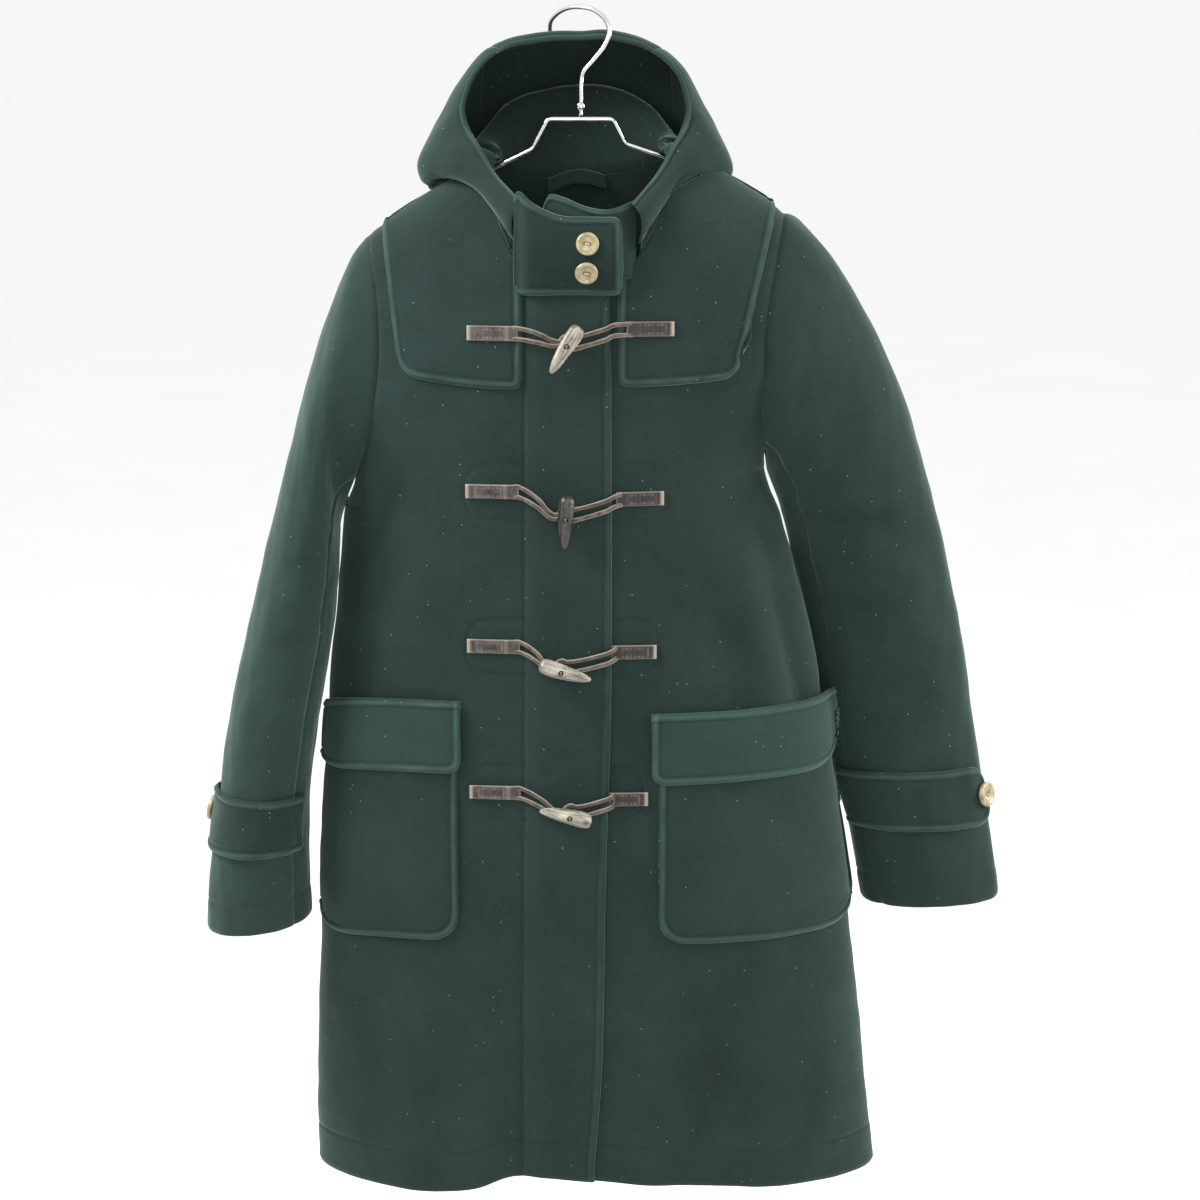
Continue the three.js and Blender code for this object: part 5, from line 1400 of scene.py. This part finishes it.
def clear_of_body(p, gap):
    """Points near the form are moved out until they are `gap` clear of it."""
    for step in range(6):
        for face, here in (("front", p[..., 1] < 0), ("back", p[..., 1] >= 0)):
            slope = level_slope(p, face)
            size = np.linalg.norm(slope, axis=-1)
            distance = level_of(p, face) / np.maximum(size, 1e-6)
            near = here & (p[..., 2] < panel_top(p[..., 0], face) + gap) & (distance < gap)
            move = np.where(near, (gap - distance) * (0.8 if step < 5 else 1.0), 0)
            p = p + unit(slope) * move[..., None]
    return p


def hood_lines():
    """Control points of the hood: 17 lines of cloth round it, 9 points along each."""
    lines = []
    for row, points in enumerate(HOOD):
        points = np.array(points, float)
        low, ridge = points[4], points[5]
        if row < POUCH["start"]:
            turned = lerp(low, ridge, POUCH["flat"])
        else:
            turned = np.array([low[0] * POUCH["draw_in"], low[1] - POUCH["thick"], low[2] + POUCH["turn"]])
        lines.append(np.concatenate([points[:5], [turned, ridge]]))
    whole = []
    for mirror in (False, True):
        half = []
        for row, line in enumerate(lines):
            x = -HOOD_NECK[row] if mirror else HOOD_NECK[row]
            line = line * np.array([-HOOD_RIGHT, 1, 1]) if mirror else line
            face = "front" if row < HOOD_FRONT_ROWS else "back"
            top, n = on_body(float(x), neckline(float(x), face), face)
            up = unit(np.array([0, 0, 1.0]) - n * n[2])
            above = top + up * NECK_STAND["up"] + n * NECK_STAND["off"]
            half.append(np.concatenate([line, [above, top + up * NECK_STAND["root"]]]))
        whole += half if not mirror else half[-2::-1]
    return np.array(whole)


def softened(values, times):
    """A grid averaged with its neighbours, so that it changes without kinks."""
    for _ in range(times):
        for axis in (0, 1):
            padded = np.concatenate([values.take([0], axis), values, values.take([-1], axis)], axis)
            before = padded.take(range(0, values.shape[axis]), axis)
            after = padded.take(range(2, values.shape[axis] + 2), axis)
            values = (before + 2 * values + after) / 4
    return values


def hood_surface(rows, along):
    """Points of the hood at places counted in lines round it (rows) and points along them (a grid)."""
    lines = spline(hood_lines(), rows)
    grid = np.array([spline(line, at) for line, at in zip(lines, along)])
    free = (along > 2.5) & (along < HOOD_END - 0.6)
    move = np.where(free[..., None], clear_of_body(grid, ON_BODY + 3) - grid, 0)
    return grid + softened(move, 40)


# Folds of the hood's inner side, summed into `puffs` in build_hood but not put on the cloth: place, reach along and
# across, height
HOOD_FOLDS = columns(
    "row along reach_row reach_along height",
    (6.9, 6.3, 0.35, 1.6, 7.0),
    (7.35, 6.6, 0.25, 1.4, -5.0),
    (9.35, 6.3, 0.35, 1.6, 6.0),
    (8.9, 6.6, 0.25, 1.4, -5.0),
    (5.4, 2.2, 0.6, 1.0, -3.0),
    (10.7, 2.2, 0.6, 1.0, -2.5),
    (8.0, 2.4, 0.9, 0.9, -3.0),
    (1.8, 6.6, 0.8, 0.8, -10.0),
    (14.2, 6.6, 0.8, 0.8, -10.0),
)


def build_hood():
    last = 2 * (len(HOOD) - 1)
    inside = np.array([0, 20.0, -110.0])
    pieces = (
        ("hood_side_right", 0, SIDE_ROWS, "side"),
        ("hood_centre", SIDE_ROWS, last - SIDE_ROWS, "whole"),
        ("hood_side_left", last - SIDE_ROWS, last, "side"),
        ("neck_band_right", 0, BAND_ROWS - 0.1, "band"),
        ("neck_band_left", last - BAND_ROWS + 0.1, last, "band"),
    )
    for node, first, final, kind in pieces:
        count = int((final - first) * (13 if kind == "whole" else 11))
        rows = np.linspace(first, final, count)
        share = graded(0, 1, [0, 1] if kind == "side" else [0], fine=0.005, coarse=0.013, reach=(0.03, 0.07))
        from_throat = np.minimum(rows, last - rows)
        if kind == "band":
            along = lerp(BAND_START, HOOD_END, share)[None] * np.ones((count, 1))
        else:
            end = np.where(from_throat < BAND_ROWS, BAND_START, HOOD_END)
            along = share[None] * end[:, None]
        grid = hood_surface(rows, along)
        x, z = grid[..., 0], grid[..., 2]
        puffs = np.zeros(grid.shape[:2])
        table = HOOD_FOLDS
        for k in range(len(table["row"])):
            du = (rows[:, None] - table["row"][k]) / table["reach_row"][k]
            dv = (along - table["along"][k]) / table["reach_along"][k]
            puffs += table["height"][k] * np.exp(-(du**2) - dv**2)
        outward = hood_outward(grid)
        stitched = [("start",)] if kind != "band" else []
        seams = [("low",), ("high",)] if kind != "band" else [("start",), ("low",), ("high",)]
        wool_piece(
            node, grid, outward, stitched=stitched, seams=seams, relief=slow_waves(x, z + 30) * 1.3, inset=4.2, puff=1.2,
            cut=0.0,
        )
        if kind != "band":
            piece = wool_pieces[node]
            inner_line = sides_of(piece["outer"], ("start",))
            sew(inner_line, piece["outer"], piece["normals"], 9.0, piece["outer"].reshape(-1, 3).mean(0))


def hood_outward(grid):
    """Away from the cloth's inner side: out of the pouch where the cloth is outside, in where it turns up."""
    outward = np.zeros_like(grid)
    outward[:, : grid.shape[1] // 5] = (grid - np.array([0, 30.0, -150.0]))[:, : grid.shape[1] // 5]
    return outward


# Throat


def build_throat_tab():
    tab = THROAT_TAB
    width = tab["right"] - tab["left"]
    share = graded(0, 1, [0, 1], fine=0.014, coarse=0.04, reach=(0.14, 0.25))
    low, high = THROAT_PROFILE["z"][-1], THROAT_PROFILE["z"][0]
    z0 = lerp(low, high, graded(0, 1, [0, 1], fine=0.018, coarse=0.05, reach=(0.14, 0.25)))[:, None]
    pinch = corner(width * (1 - share), tab["corner"])
    z = np.clip(z0, low + pinch * 0.6, high - pinch)
    t = (z0 - low) / (high - low)
    z = lerp(low + pinch * 0.6, high - pinch, t)
    y = smooth(THROAT_PROFILE, "y", "z", z)
    climb = tab["climb"] * (np.maximum(0, tab["climb_reach"] - share) / tab["climb_reach"]) ** 2
    climb = climb - corner(width * share, tab["corner"])
    y = y + tab["tuck"] * (1 - smoothstep(share, 0, 0.2)) ** 2
    grid = np.stack([np.broadcast_to(tab["left"] + width * share, z.shape), y, z + climb * t], axis=-1)
    wool_piece(
        "throat_tab", grid, (0, -1, 0), stitched=[("low", "end", "high")], relief=slow_waves(grid[..., 0], grid[..., 2]),
        # painted shade: tone 0 gives the tab no lightening all over, so it is drawn darker than the pieces round it,
        # in the shade of the hood
        tone=0.0,
        puff=0.8,
    )


def build_under_tab():
    at = graded(0, len(UNDER_TAB["x"]) - 1, [0, 6], fine=0.05, coarse=0.14, reach=(0.4, 0.9))
    top = np.stack([UNDER_TAB["x"], UNDER_TAB["top_y"], UNDER_TAB["top_z"]], axis=1)
    low = np.stack([UNDER_TAB["x"], UNDER_TAB["low_y"], UNDER_TAB["low_z"]], axis=1)
    down = graded(0, 1, [0], fine=0.04, coarse=0.08, reach=(0.2, 0.4))[:, None, None]
    grid = lerp(spline(top, at)[None], spline(low, at)[None], down)
    wool_piece("under_tab", grid, (0, -1, 0), stitched=[("start", "low")], puff=1.2, inset=5.0)


# Buttons, toggles, tabs and cords


def frame_on(out, along=(1, 0, 0)):
    """Three axes, the last of which is `out`."""
    out = unit(np.asarray(out, float))
    side = unit(np.asarray(along, float) - out * (np.asarray(along, float) @ out))
    return np.stack([side, np.cross(out, side), out])


def build_button(node, size, seat, out):
    """A turned two-hole button: dished face, rounded rim, holes with a bar of thread."""
    radius, thick = size["diameter"] / 2, size["thick"]
    hole, apart = BUTTON_HOLES["diameter"] / 2, BUTTON_HOLES["apart"] / 2
    profile = np.array(
        [
            (radius - 1.2, 0), (radius - 0.3, 0.5), (radius, 1.3), (radius, thick - 1.4), (radius - 0.5, thick - 0.4),
            (radius - 1.5, thick), (radius - 2.4, thick - 0.25), (radius - 3.3, thick - 1.0), (radius - 4.6, thick - 1.35),
        ]
    )
    sides = 48
    turn = 2 * np.pi * np.arange(sides) / sides
    rings = [np.stack([r * np.cos(turn), r * np.sin(turn), np.full(sides, h)], axis=1) for r, h in profile]
    vertices = np.concatenate(rings)
    faces = []
    for k in range(len(rings) - 1):
        for i in range(sides):
            j = (i + 1) % sides
            faces.append((k * sides + i, k * sides + j, (k + 1) * sides + j, (k + 1) * sides + i))
    mesh = bpy.data.meshes.new(node + "_turned")
    top_ring = [(len(rings) - 1) * sides + i for i in range(sides)]
    faces.append(tuple(top_ring))
    faces.append(tuple(reversed(range(sides))))
    axes = frame_on(out)
    bpy.data.meshes.remove(mesh)
    body = make_mesh("turned_" + node, vertices, faces)
    for x in (-apart, apart):
        cutter = tube_mesh([(x, 0, -1), (x, 0, thick + 1)], hole, sides=16)
        cut_away(body, cutter)
    finish_rigid(body, axes, seat, COROZO, node)
    bar = []
    for y in (-0.35, 0.35):
        bar.append(tube_mesh(
            [(-apart, y, thick - 2.6), (-apart, y, thick - 1.0), (0, y, thick - 0.75), (apart, y, thick - 1.0), (apart, y, thick - 2.6)],
            0.4, sides=6, start=(0, 1, 0),
        ))
    shank = tube_mesh([(0, 0, -1.2), (0, 0, 0.6)], 1.6, sides=10, start=(1, 0, 0))
    vertices, faces = join_meshes([*bar, shank])
    plain_object(node + "_thread", vertices @ axes + np.asarray(seat), faces, PALE_THREAD)


def make_mesh(name, vertices, faces):
    mesh = bpy.data.meshes.new(name)
    mesh.from_pydata(np.asarray(vertices).tolist(), [], [tuple(int(k) for k in f) for f in faces])
    obj = bpy.data.objects.new(name, mesh)
    collection.objects.link(obj)
    return obj


def cut_away(obj, cutter):
    """Cuts a closed mesh out of an object and applies the result."""
    tool = make_mesh("cutter", *cutter)
    for each in (obj, tool):
        normals_out(each.data)
    step = obj.modifiers.new("cut", "BOOLEAN")
    step.operation, step.solver, step.object = "DIFFERENCE", "EXACT", tool
    made = bpy.data.meshes.new_from_object(obj.evaluated_get(bpy.context.evaluated_depsgraph_get()))
    obj.modifiers.clear()
    old, obj.data = obj.data, made
    tool_mesh = tool.data
    bpy.data.objects.remove(tool)
    bpy.data.meshes.remove(tool_mesh)
    bpy.data.meshes.remove(old)


def normals_out(mesh):
    import bmesh

    work = bmesh.new()
    work.from_mesh(mesh)
    bmesh.ops.recalc_face_normals(work, faces=work.faces)
    work.to_mesh(mesh)
    work.free()


def finish_rigid(obj, axes, seat, material, node):
    """Turns a mesh made in millimetres round the origin to its place on the coat."""
    mesh = obj.data
    co = np.empty(len(mesh.vertices) * 3, np.float64)
    mesh.vertices.foreach_get("co", co)
    placed = (co.reshape(-1, 3) @ axes + np.asarray(seat)) * MM
    mesh.vertices.foreach_set("co", placed.ravel())
    mesh.update()
    mesh.shade_smooth()
    mesh.materials.clear()
    mesh.materials.append(material)
    obj.name = "made_" + node
    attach(obj, "root")
    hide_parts(node)


PALE_THREAD = worn_leather("cotton_thread_waxed", "#8e8158", "#b0a274")


def over_lap(x, z, off):
    """A point over the lap; past its edge it keeps the edge's height."""
    p = on_lap(np.minimum(x, edge_x(z)), z, off)[0]
    return np.array([float(x), float(p[1]), float(p[2])])


def build_toggle(number, row):
    thick = np.array([row["thick_x"], 0, row["thick_z"]])
    tip = np.array([row["tip_x"], 0, row["tip_z"]])
    along = unit(tip - thick)
    hole = thick + along * TOGGLE_LENGTH * TOGGLE_HOLE["along"]
    centre = over_lap(hole[0], hole[2], TOGGLE_MIDDLE)
    sides, count = 40, 44
    at = np.linspace(0, 1, count) ** 1.0 * TOGGLE_LENGTH
    radius = np.interp(at, TOGGLE_PROFILE["along"], TOGGLE_PROFILE["radius"])
    at = np.concatenate([[0, 0.15, 0.5, 1.0, 1.8, 2.8], np.linspace(4, 44, 36), [45, 46, 46.8, 47.4, 47.8, 48]])
    radius = smooth(TOGGLE_PROFILE, "radius", "along", at)
    turn = 2 * np.pi * np.arange(sides) / sides
    carve = 1 + 0.05 * np.sin(3 * turn + number) + 0.03 * np.sin(5 * turn + 2 * number)
    bend = 3.0 * (at / TOGGLE_LENGTH) ** 2 - 1.2 * at / TOGGLE_LENGTH
    wear = 0.12 * np.sin(at * 1.3 + number)
    ring_x = (radius + wear * (radius > 2))[:, None] * carve * np.cos(turn) + bend[:, None]
    ring_y = (radius + wear * (radius > 2))[:, None] * carve * np.sin(turn) * 0.92
    vertices = np.stack([ring_x, ring_y, np.broadcast_to(at[:, None], ring_x.shape)], axis=-1).reshape(-1, 3)
    faces = []
    for k in range(len(at) - 1):
        for i in range(sides):
            j = (i + 1) % sides
            faces.append((k * sides + i, k * sides + j, (k + 1) * sides + j, (k + 1) * sides + i))
    faces.append(tuple(reversed(range(sides))))
    faces.append(tuple((len(at) - 1) * sides + i for i in range(sides)))
    body = make_mesh("horn", vertices, faces)
    hole_at = TOGGLE_LENGTH * TOGGLE_HOLE["along"]
    bore_x = float(np.interp(hole_at, at, bend))
    cut_away(body, tube_mesh([(bore_x, -12, hole_at), (bore_x, 12, hole_at)], TOGGLE_HOLE["radius"], sides=20, start=(1, 0, 0)))
    outward = np.array([0, -1.0, 0])
    axes = np.stack([np.cross(outward, along), outward, along])
    co = np.empty(len(body.data.vertices) * 3)
    body.data.vertices.foreach_get("co", co)
    co = co.reshape(-1, 3)
    around = np.arctan2(co[:, 1], co[:, 0] - np.interp(co[:, 2], at, bend)) / (2 * np.pi)
    uv = np.stack([np.abs(around) + number * 0.7, co[:, 2] / TOGGLE_LENGTH + number], axis=1)
    loops = np.empty(len(body.data.loops), int)
    body.data.loops.foreach_get("vertex_index", loops)
    body.data.uv_layers.new(name="along").data.foreach_set("uv", uv[loops].astype(np.float32).ravel())
    seat = np.array([thick[0], centre[1], thick[2]])
    dark = number == 2
    finish_rigid(body, axes, seat, DARK_HORN if dark else HORN, f"toggle_{number}")
    return hole, centre


CORD_LOW = 0.7 + CORD / 2
CORD_HIGH = CORD_LOW + CORD + 0.5
TOGGLE_MIDDLE = CORD_HIGH + CORD / 2 + 0.5 + 7.2
TAB_LIFT = 0.6


def leather_tab(start, end, z, place, off, outer_end):
    """A folded leather tab with rounded edges, a raised rim and a worn bar across its outer end."""
    low, high = min(start, end), max(start, end)
    u = graded(low, high, [low, high], fine=0.35, coarse=1.4, reach=(1.2, 3.5))
    v = graded(-TAB_HEIGHT / 2, TAB_HEIGHT / 2, [-TAB_HEIGHT / 2, TAB_HEIGHT / 2], fine=0.35, coarse=0.9, reach=(1.2, 2.5))
    x, dz = np.meshgrid(u, v)
    p, n = place(x, z + dz, off + TAPE)
    to_end = np.abs(x - outer_end)
    edge = np.minimum(np.minimum(x - low, high - x), TAB_HEIGHT / 2 - np.abs(dz))
    height = 0.25 * np.exp(-(((edge - 1.0) / 0.7) ** 2)) - 0.5 * np.exp(-((edge / 0.4) ** 2))
    height += 0.45 * np.exp(-(((to_end - 1.6) / 1.2) ** 4))
    band = np.exp(-(((to_end - 35.0) / 2.0) ** 4)) * (high - low > 42.5)
    height += 0.4 * band
    box = np.abs(np.minimum(np.minimum(to_end - 8.0, 31.0 - to_end), TAB_HEIGHT / 2 - 2.6 - np.abs(dz)))
    height -= 0.35 * np.exp(-((box / 0.45) ** 2))
    wear_and_shading = 0.55 * np.exp(-((edge / 0.8) ** 2)) + 0.95 * np.exp(-(((to_end - 1.6) / 1.5) ** 4))
    wear_and_shading += 0.35 * np.exp(-((box / 0.8) ** 2)) * (np.sin(x * 1.7) > 0) + 0.3 * band
    outer = p + n * height[..., None]
    inner = p - n * TAPE
    vertices, faces = shell_mesh(outer, inner, bulge=0.25)
    all_wear_and_shading = np.concatenate([np.clip(wear_and_shading, 0, 1).ravel(), np.full(len(vertices) - wear_and_shading.size, 0.4)])
    return vertices, faces, all_wear_and_shading


def thong(points, count):
    """One run of leather thong, slightly flattened and uneven."""
    at = np.linspace(0, len(points) - 1, count)
    path = spline(np.array(points), at)
    radius = CORD * 0.62 * (1 + 0.05 * np.sin(at * 9.0))
    return tube_mesh(path, radius, sides=12, flat=0.55)


def thong_rub(vertices, sides=12):
    """Wear along the cut edges of a thong, which are its upper and lower sides."""
    ring = np.abs(np.sin(2 * np.pi * np.arange(sides) / sides))
    count = (len(vertices) - 2) // sides
    return np.concatenate([np.tile(smoothstep(ring, 0.6, 1.0), count), [0, 0]])


def build_fastening(number):
    row = {key: column[number - 1] for key, column in TOGGLES.items()}
    hole, centre = build_toggle(number, row)
    lift = ON_BODY if number == 1 else 0.0
    left_place = lambda x, z, off: on_lap(x, z, off + lift)
    right_place = lambda x, z, off: on_body(x, z, "front", off + lift)
    half = TAB_HEIGHT / 2 - CORD / 2
    on_tab = TAB_LIFT + TAPE / 2
    under = over_lap(hole[0], hole[2], CORD_HIGH)
    cords = []
    for dz in (half, -half):
        start = left_place(row["left_end"] - 5, row["left_z"] + dz, on_tab)[0]
        mouth = left_place(row["left_end"], row["left_z"] + dz, on_tab + 0.8)[0]
        way_x, way_z = lerp(row["left_end"], hole[0], 0.4), lerp(row["left_z"], hole[2], 0.4)
        points = [
            start, mouth,
            over_lap(way_x, way_z + dz * 0.85, CORD_HIGH + lift * 0.5),
            over_lap(hole[0] - 12, hole[2] + dz * 0.5, CORD_HIGH),
            under + np.array([0, 0, math.copysign(0.9, dz)]),
        ]
        cords.append(thong(points, 48))
    stem_top = np.array([hole[0], centre[1] - 6.2, hole[2]])
    cords.append(tube_mesh(even([[hole[0], under[1], hole[2]], stem_top], 1.0), CORD / 2 * 0.9, sides=12, start=(1, 0, 0)))
    edge = float(edge_x(row["right_z"]))
    right = lambda dz, x, share, off: over_lap(x, lerp(row["right_z"], hole[2], share) + dz, off)
    eye = LOOP_EYE
    loop_points = [
        right_place(row["right_start"] + 5, row["right_z"] + half, on_tab)[0],
        right(half, edge + 3, 0.1, CORD_LOW + 0.8),
        right(half, edge - 3, 0.35, CORD_LOW + 0.3),
        over_lap(hole[0] + eye, hole[2] + eye * 0.8, CORD_LOW),
        over_lap(hole[0], hole[2] + eye, CORD_LOW),
        over_lap(hole[0] - eye, hole[2], CORD_LOW),
        over_lap(hole[0], hole[2] - eye, CORD_LOW),
        over_lap(hole[0] + eye, hole[2] - eye * 0.8, CORD_LOW),
        right(-half, edge - 3, 0.35, CORD_LOW + 0.3),
        right(-half, edge + 3, 0.1, CORD_LOW + 0.8),
        right_place(row["right_start"] + 5, row["right_z"] - half, on_tab)[0],
    ]
    sides = (
        ("cord", cords, row["left_start"], row["left_end"], row["left_z"], left_place, row["left_start"]),
        ("loop", [thong(loop_points, 130)], row["right_start"], row["right_end"], row["right_z"], right_place, row["right_end"]),
    )
    for name, runs, start, end, z, place, outer_end in sides:
        vertices, faces, wear_and_shading = leather_tab(start, end, z, place, TAB_LIFT, outer_end)
        node = f"toggle_{name}_{number}"
        hide = LEATHER if name == "cord" else DARK_LEATHER
        plain_object("leather_tab_" + node, vertices, faces, hide, node=node, wear_and_shading=wear_and_shading)
        vertices, faces = join_meshes(runs)
        edge = [thong_rub(part[0]) for part in runs]
        plain_object("thong_" + node, vertices, faces, CORD_LEATHER, wear_and_shading=np.concatenate(edge))


# The hanging loop, the hanger and the stitches


def build_hanging_loop():
    loop = HANGING_LOOP
    share = np.linspace(0, 1, 48)
    x = lerp(loop["start"], loop["end"], share)
    arch = np.sin(np.pi * share)
    seat = on_body(x, neckline(x, "back") - 2, "back", -CLOTH - LAYER_GAP)[0]
    down = np.linspace(0, 1, 12)[:, None]
    grid = np.stack(
        [
            np.broadcast_to(x, (12, 48)),
            np.broadcast_to(seat[:, 1] - 0.6 - loop["lean"] * arch, (12, 48)),
            seat[:, 2] + loop["rise"] * arch - loop["width"] * down + 2,
        ],
        axis=-1,
    )
    ribs = 0.15 * np.sin(np.arange(12) * np.pi / 2)[:, None] * np.ones((1, 48))
    wool_piece("hanging_loop", grid, (0, 1, 0), thickness=TAPE, cut=ribs, stitches=False)


def rounded_route(points, radius, steps=10):
    """A route whose corners are rounded."""
    points = np.asarray(points, float)
    route = [points[0]]
    for before, p, after in zip(points, points[1:], points[2:]):
        a, b = unit(before - p), unit(after - p)
        reach = radius / math.tan(math.acos(float(np.clip(a @ b, -1, 1))) / 2)
        t = np.linspace(0, 1, steps)[:, None]
        start, end = p + a * reach, p + b * reach
        route.extend((1 - t) ** 2 * start + 2 * t * (1 - t) * p + t**2 * end)
    return np.array([*route, points[-1]])


def build_hanger():
    bend = spline(np.array(HOOK, float)[:-1], np.linspace(0, len(HOOK) - 2, 110))
    path = even(np.concatenate([bend, [HOOK[-1]]]), 1.2)
    vertices, faces = tube_mesh(path, WIRE / 2 * (1 - 0.06 * smoothstep(-path[:, 2], 45, 60)), sides=20)
    parts = [(vertices, faces)]
    turn = np.linspace(0, np.pi, 20)
    ball_path = np.stack([np.full(20, BALL["x"]), np.full(20, BALL["y"]), BALL["z"] + BALL["radius"] * np.cos(turn)], axis=1)
    parts.append(tube_mesh(ball_path, np.maximum(BALL["radius"] * np.sin(turn), 0.05), sides=28))
    vertices, faces = join_meshes(parts)
    plain_object("wire_hook", vertices, faces, STEEL, node="hanger_hook")
    arms = []
    for side, tip in (("left", -189), ("right", 182)):
        spots = shoulder_columns(tip, 4)
        bearing = [(x, 0, float(crest(x)) - CLOTH - 1.5 * LAYER_GAP - WIRE / 2) for x in (spots[3], spots[1])]
        arms.append([(BAR[side], BAR["y"], BAR["z"]), KNEES[side], *bearing])
    route = rounded_route([*reversed(arms[0]), *arms[1]], FRAME_BEND)
    vertices, faces = tube_mesh(even(route, 1.6), WIRE / 2, sides=18)
    plain_object("wire_frame", vertices, faces, STEEL, node="hanger_frame")


def build_stitches():
    """Every stitch as a short thread that dips into the cloth at both ends."""
    share = np.array([0.0, 0.5, 1.0])
    height = np.array([-0.45, 0.12, -0.45])
    thin = np.array([0.5, 1.0, 0.5])
    sides = 5
    turn = 2 * np.pi * np.arange(sides) / sides
    number = np.arange(3 * sides).reshape(3, sides)
    after = np.roll(number, -1, axis=1)
    faces = np.stack([number[:-1], after[:-1], after[1:], number[1:]], axis=-1).reshape(-1, 4)
    all_vertices, all_faces, base = [], [], 0
    for path, normals in stitch_rows:
        tangent = unit(np.gradient(path, axis=0))
        side = np.cross(normals, tangent)
        centre = (
            path[:, None]
            + tangent[:, None] * ((share - 0.5) * STITCH["length"])[None, :, None]
            + normals[:, None] * height[None, :, None]
        )
        ring = np.cos(turn)[:, None, None] * side + np.sin(turn)[:, None, None] * normals
        ring = np.moveaxis(ring, 0, 1)
        points = centre[:, :, None] + ring[:, None] * (STITCH["radius"] * thin)[None, :, None, None]
        count = len(path)
        all_vertices.append(points.reshape(-1, 3))
        moved = faces[None] + (np.arange(count) * 3 * sides)[:, None, None] + base
        all_faces += moved.reshape(-1, 4).tolist()
        for k in range(count):
            start = base + k * 3 * sides
            all_faces.append([start + i for i in reversed(range(sides))])
            all_faces.append([start + 2 * sides + i for i in range(sides)])
        base += count * 3 * sides
    plain_object("topstitching", np.concatenate(all_vertices), all_faces, THREAD)


# Floor, light and camera


def build_stage():
    size, drop = 60.0, -1.6
    mesh = bpy.data.meshes.new("floor")
    mesh.from_pydata(
        [(-size, -size, drop), (size, -size, drop), (size, size, drop), (-size, size, drop)], [], [(0, 1, 2, 3)]
    )
    mesh.materials.append(FLOOR)
    floor = bpy.data.objects.new("floor", mesh)
    collection.objects.link(floor)
    world = bpy.data.worlds.new("studio")
    bpy.context.scene.world = world
    world.use_nodes = True
    world.node_tree.nodes["Background"].inputs["Color"].default_value = (1, 1, 1, 1)
    world.node_tree.nodes["Background"].inputs["Strength"].default_value = 1.0
    lights = (
        ("key_softbox", (-1.3, -0.5, 0.85), 0.9, 62.0),
        ("side_softbox", (1.7, -0.15, 0.0), 0.9, 38.0),
        ("front_softbox", (0.1, -2.0, 0.2), 0.6, 14.0),
    )
    for name, place, width, power in lights:
        light = bpy.data.lights.new(name, "AREA")
        light.size = width
        light.energy = power
        obj = bpy.data.objects.new(name, light)
        collection.objects.link(obj)
        obj.location = place
        obj.rotation_mode = "QUATERNION"
        obj.rotation_quaternion = (Vector((0, 0, -0.55)) - obj.location).to_track_quat("-Z", "Y")


def build_camera():
    """The photograph's view: 14 degrees from above, 2.68 m away, 1.1 m of the coat's plane in a square frame."""
    data = bpy.data.cameras.new("camera")
    data.sensor_width = 36.0
    data.lens = 87.39
    camera = bpy.data.objects.new("camera", data)
    collection.objects.link(camera)
    aim = Vector((0.0177, 0, -0.533))
    camera.location = (0.0177, -2.6004, 0.11535)
    camera.rotation_mode = "QUATERNION"
    camera.rotation_quaternion = (aim - camera.location).to_track_quat("-Z", "Y")
    bpy.context.scene.camera = camera
    bpy.context.scene.view_settings.view_transform = "Standard"


build_camera()
build_stage()
build_back()
build_fronts()
for side in ("left", "right"):
    build_sleeve(side)
    build_front_yoke(side)
    build_pocket(side)
    build_cuff_strap(side)
build_back_yoke()
build_hood()
build_throat_tab()
build_under_tab()
for name, place in BUTTONS.items():
    build_button(name, TAB_BUTTON, place["at"], place["out"])
for number in range(1, 5):
    build_fastening(number)
build_hanging_loop()
build_hanger()
build_stitches()
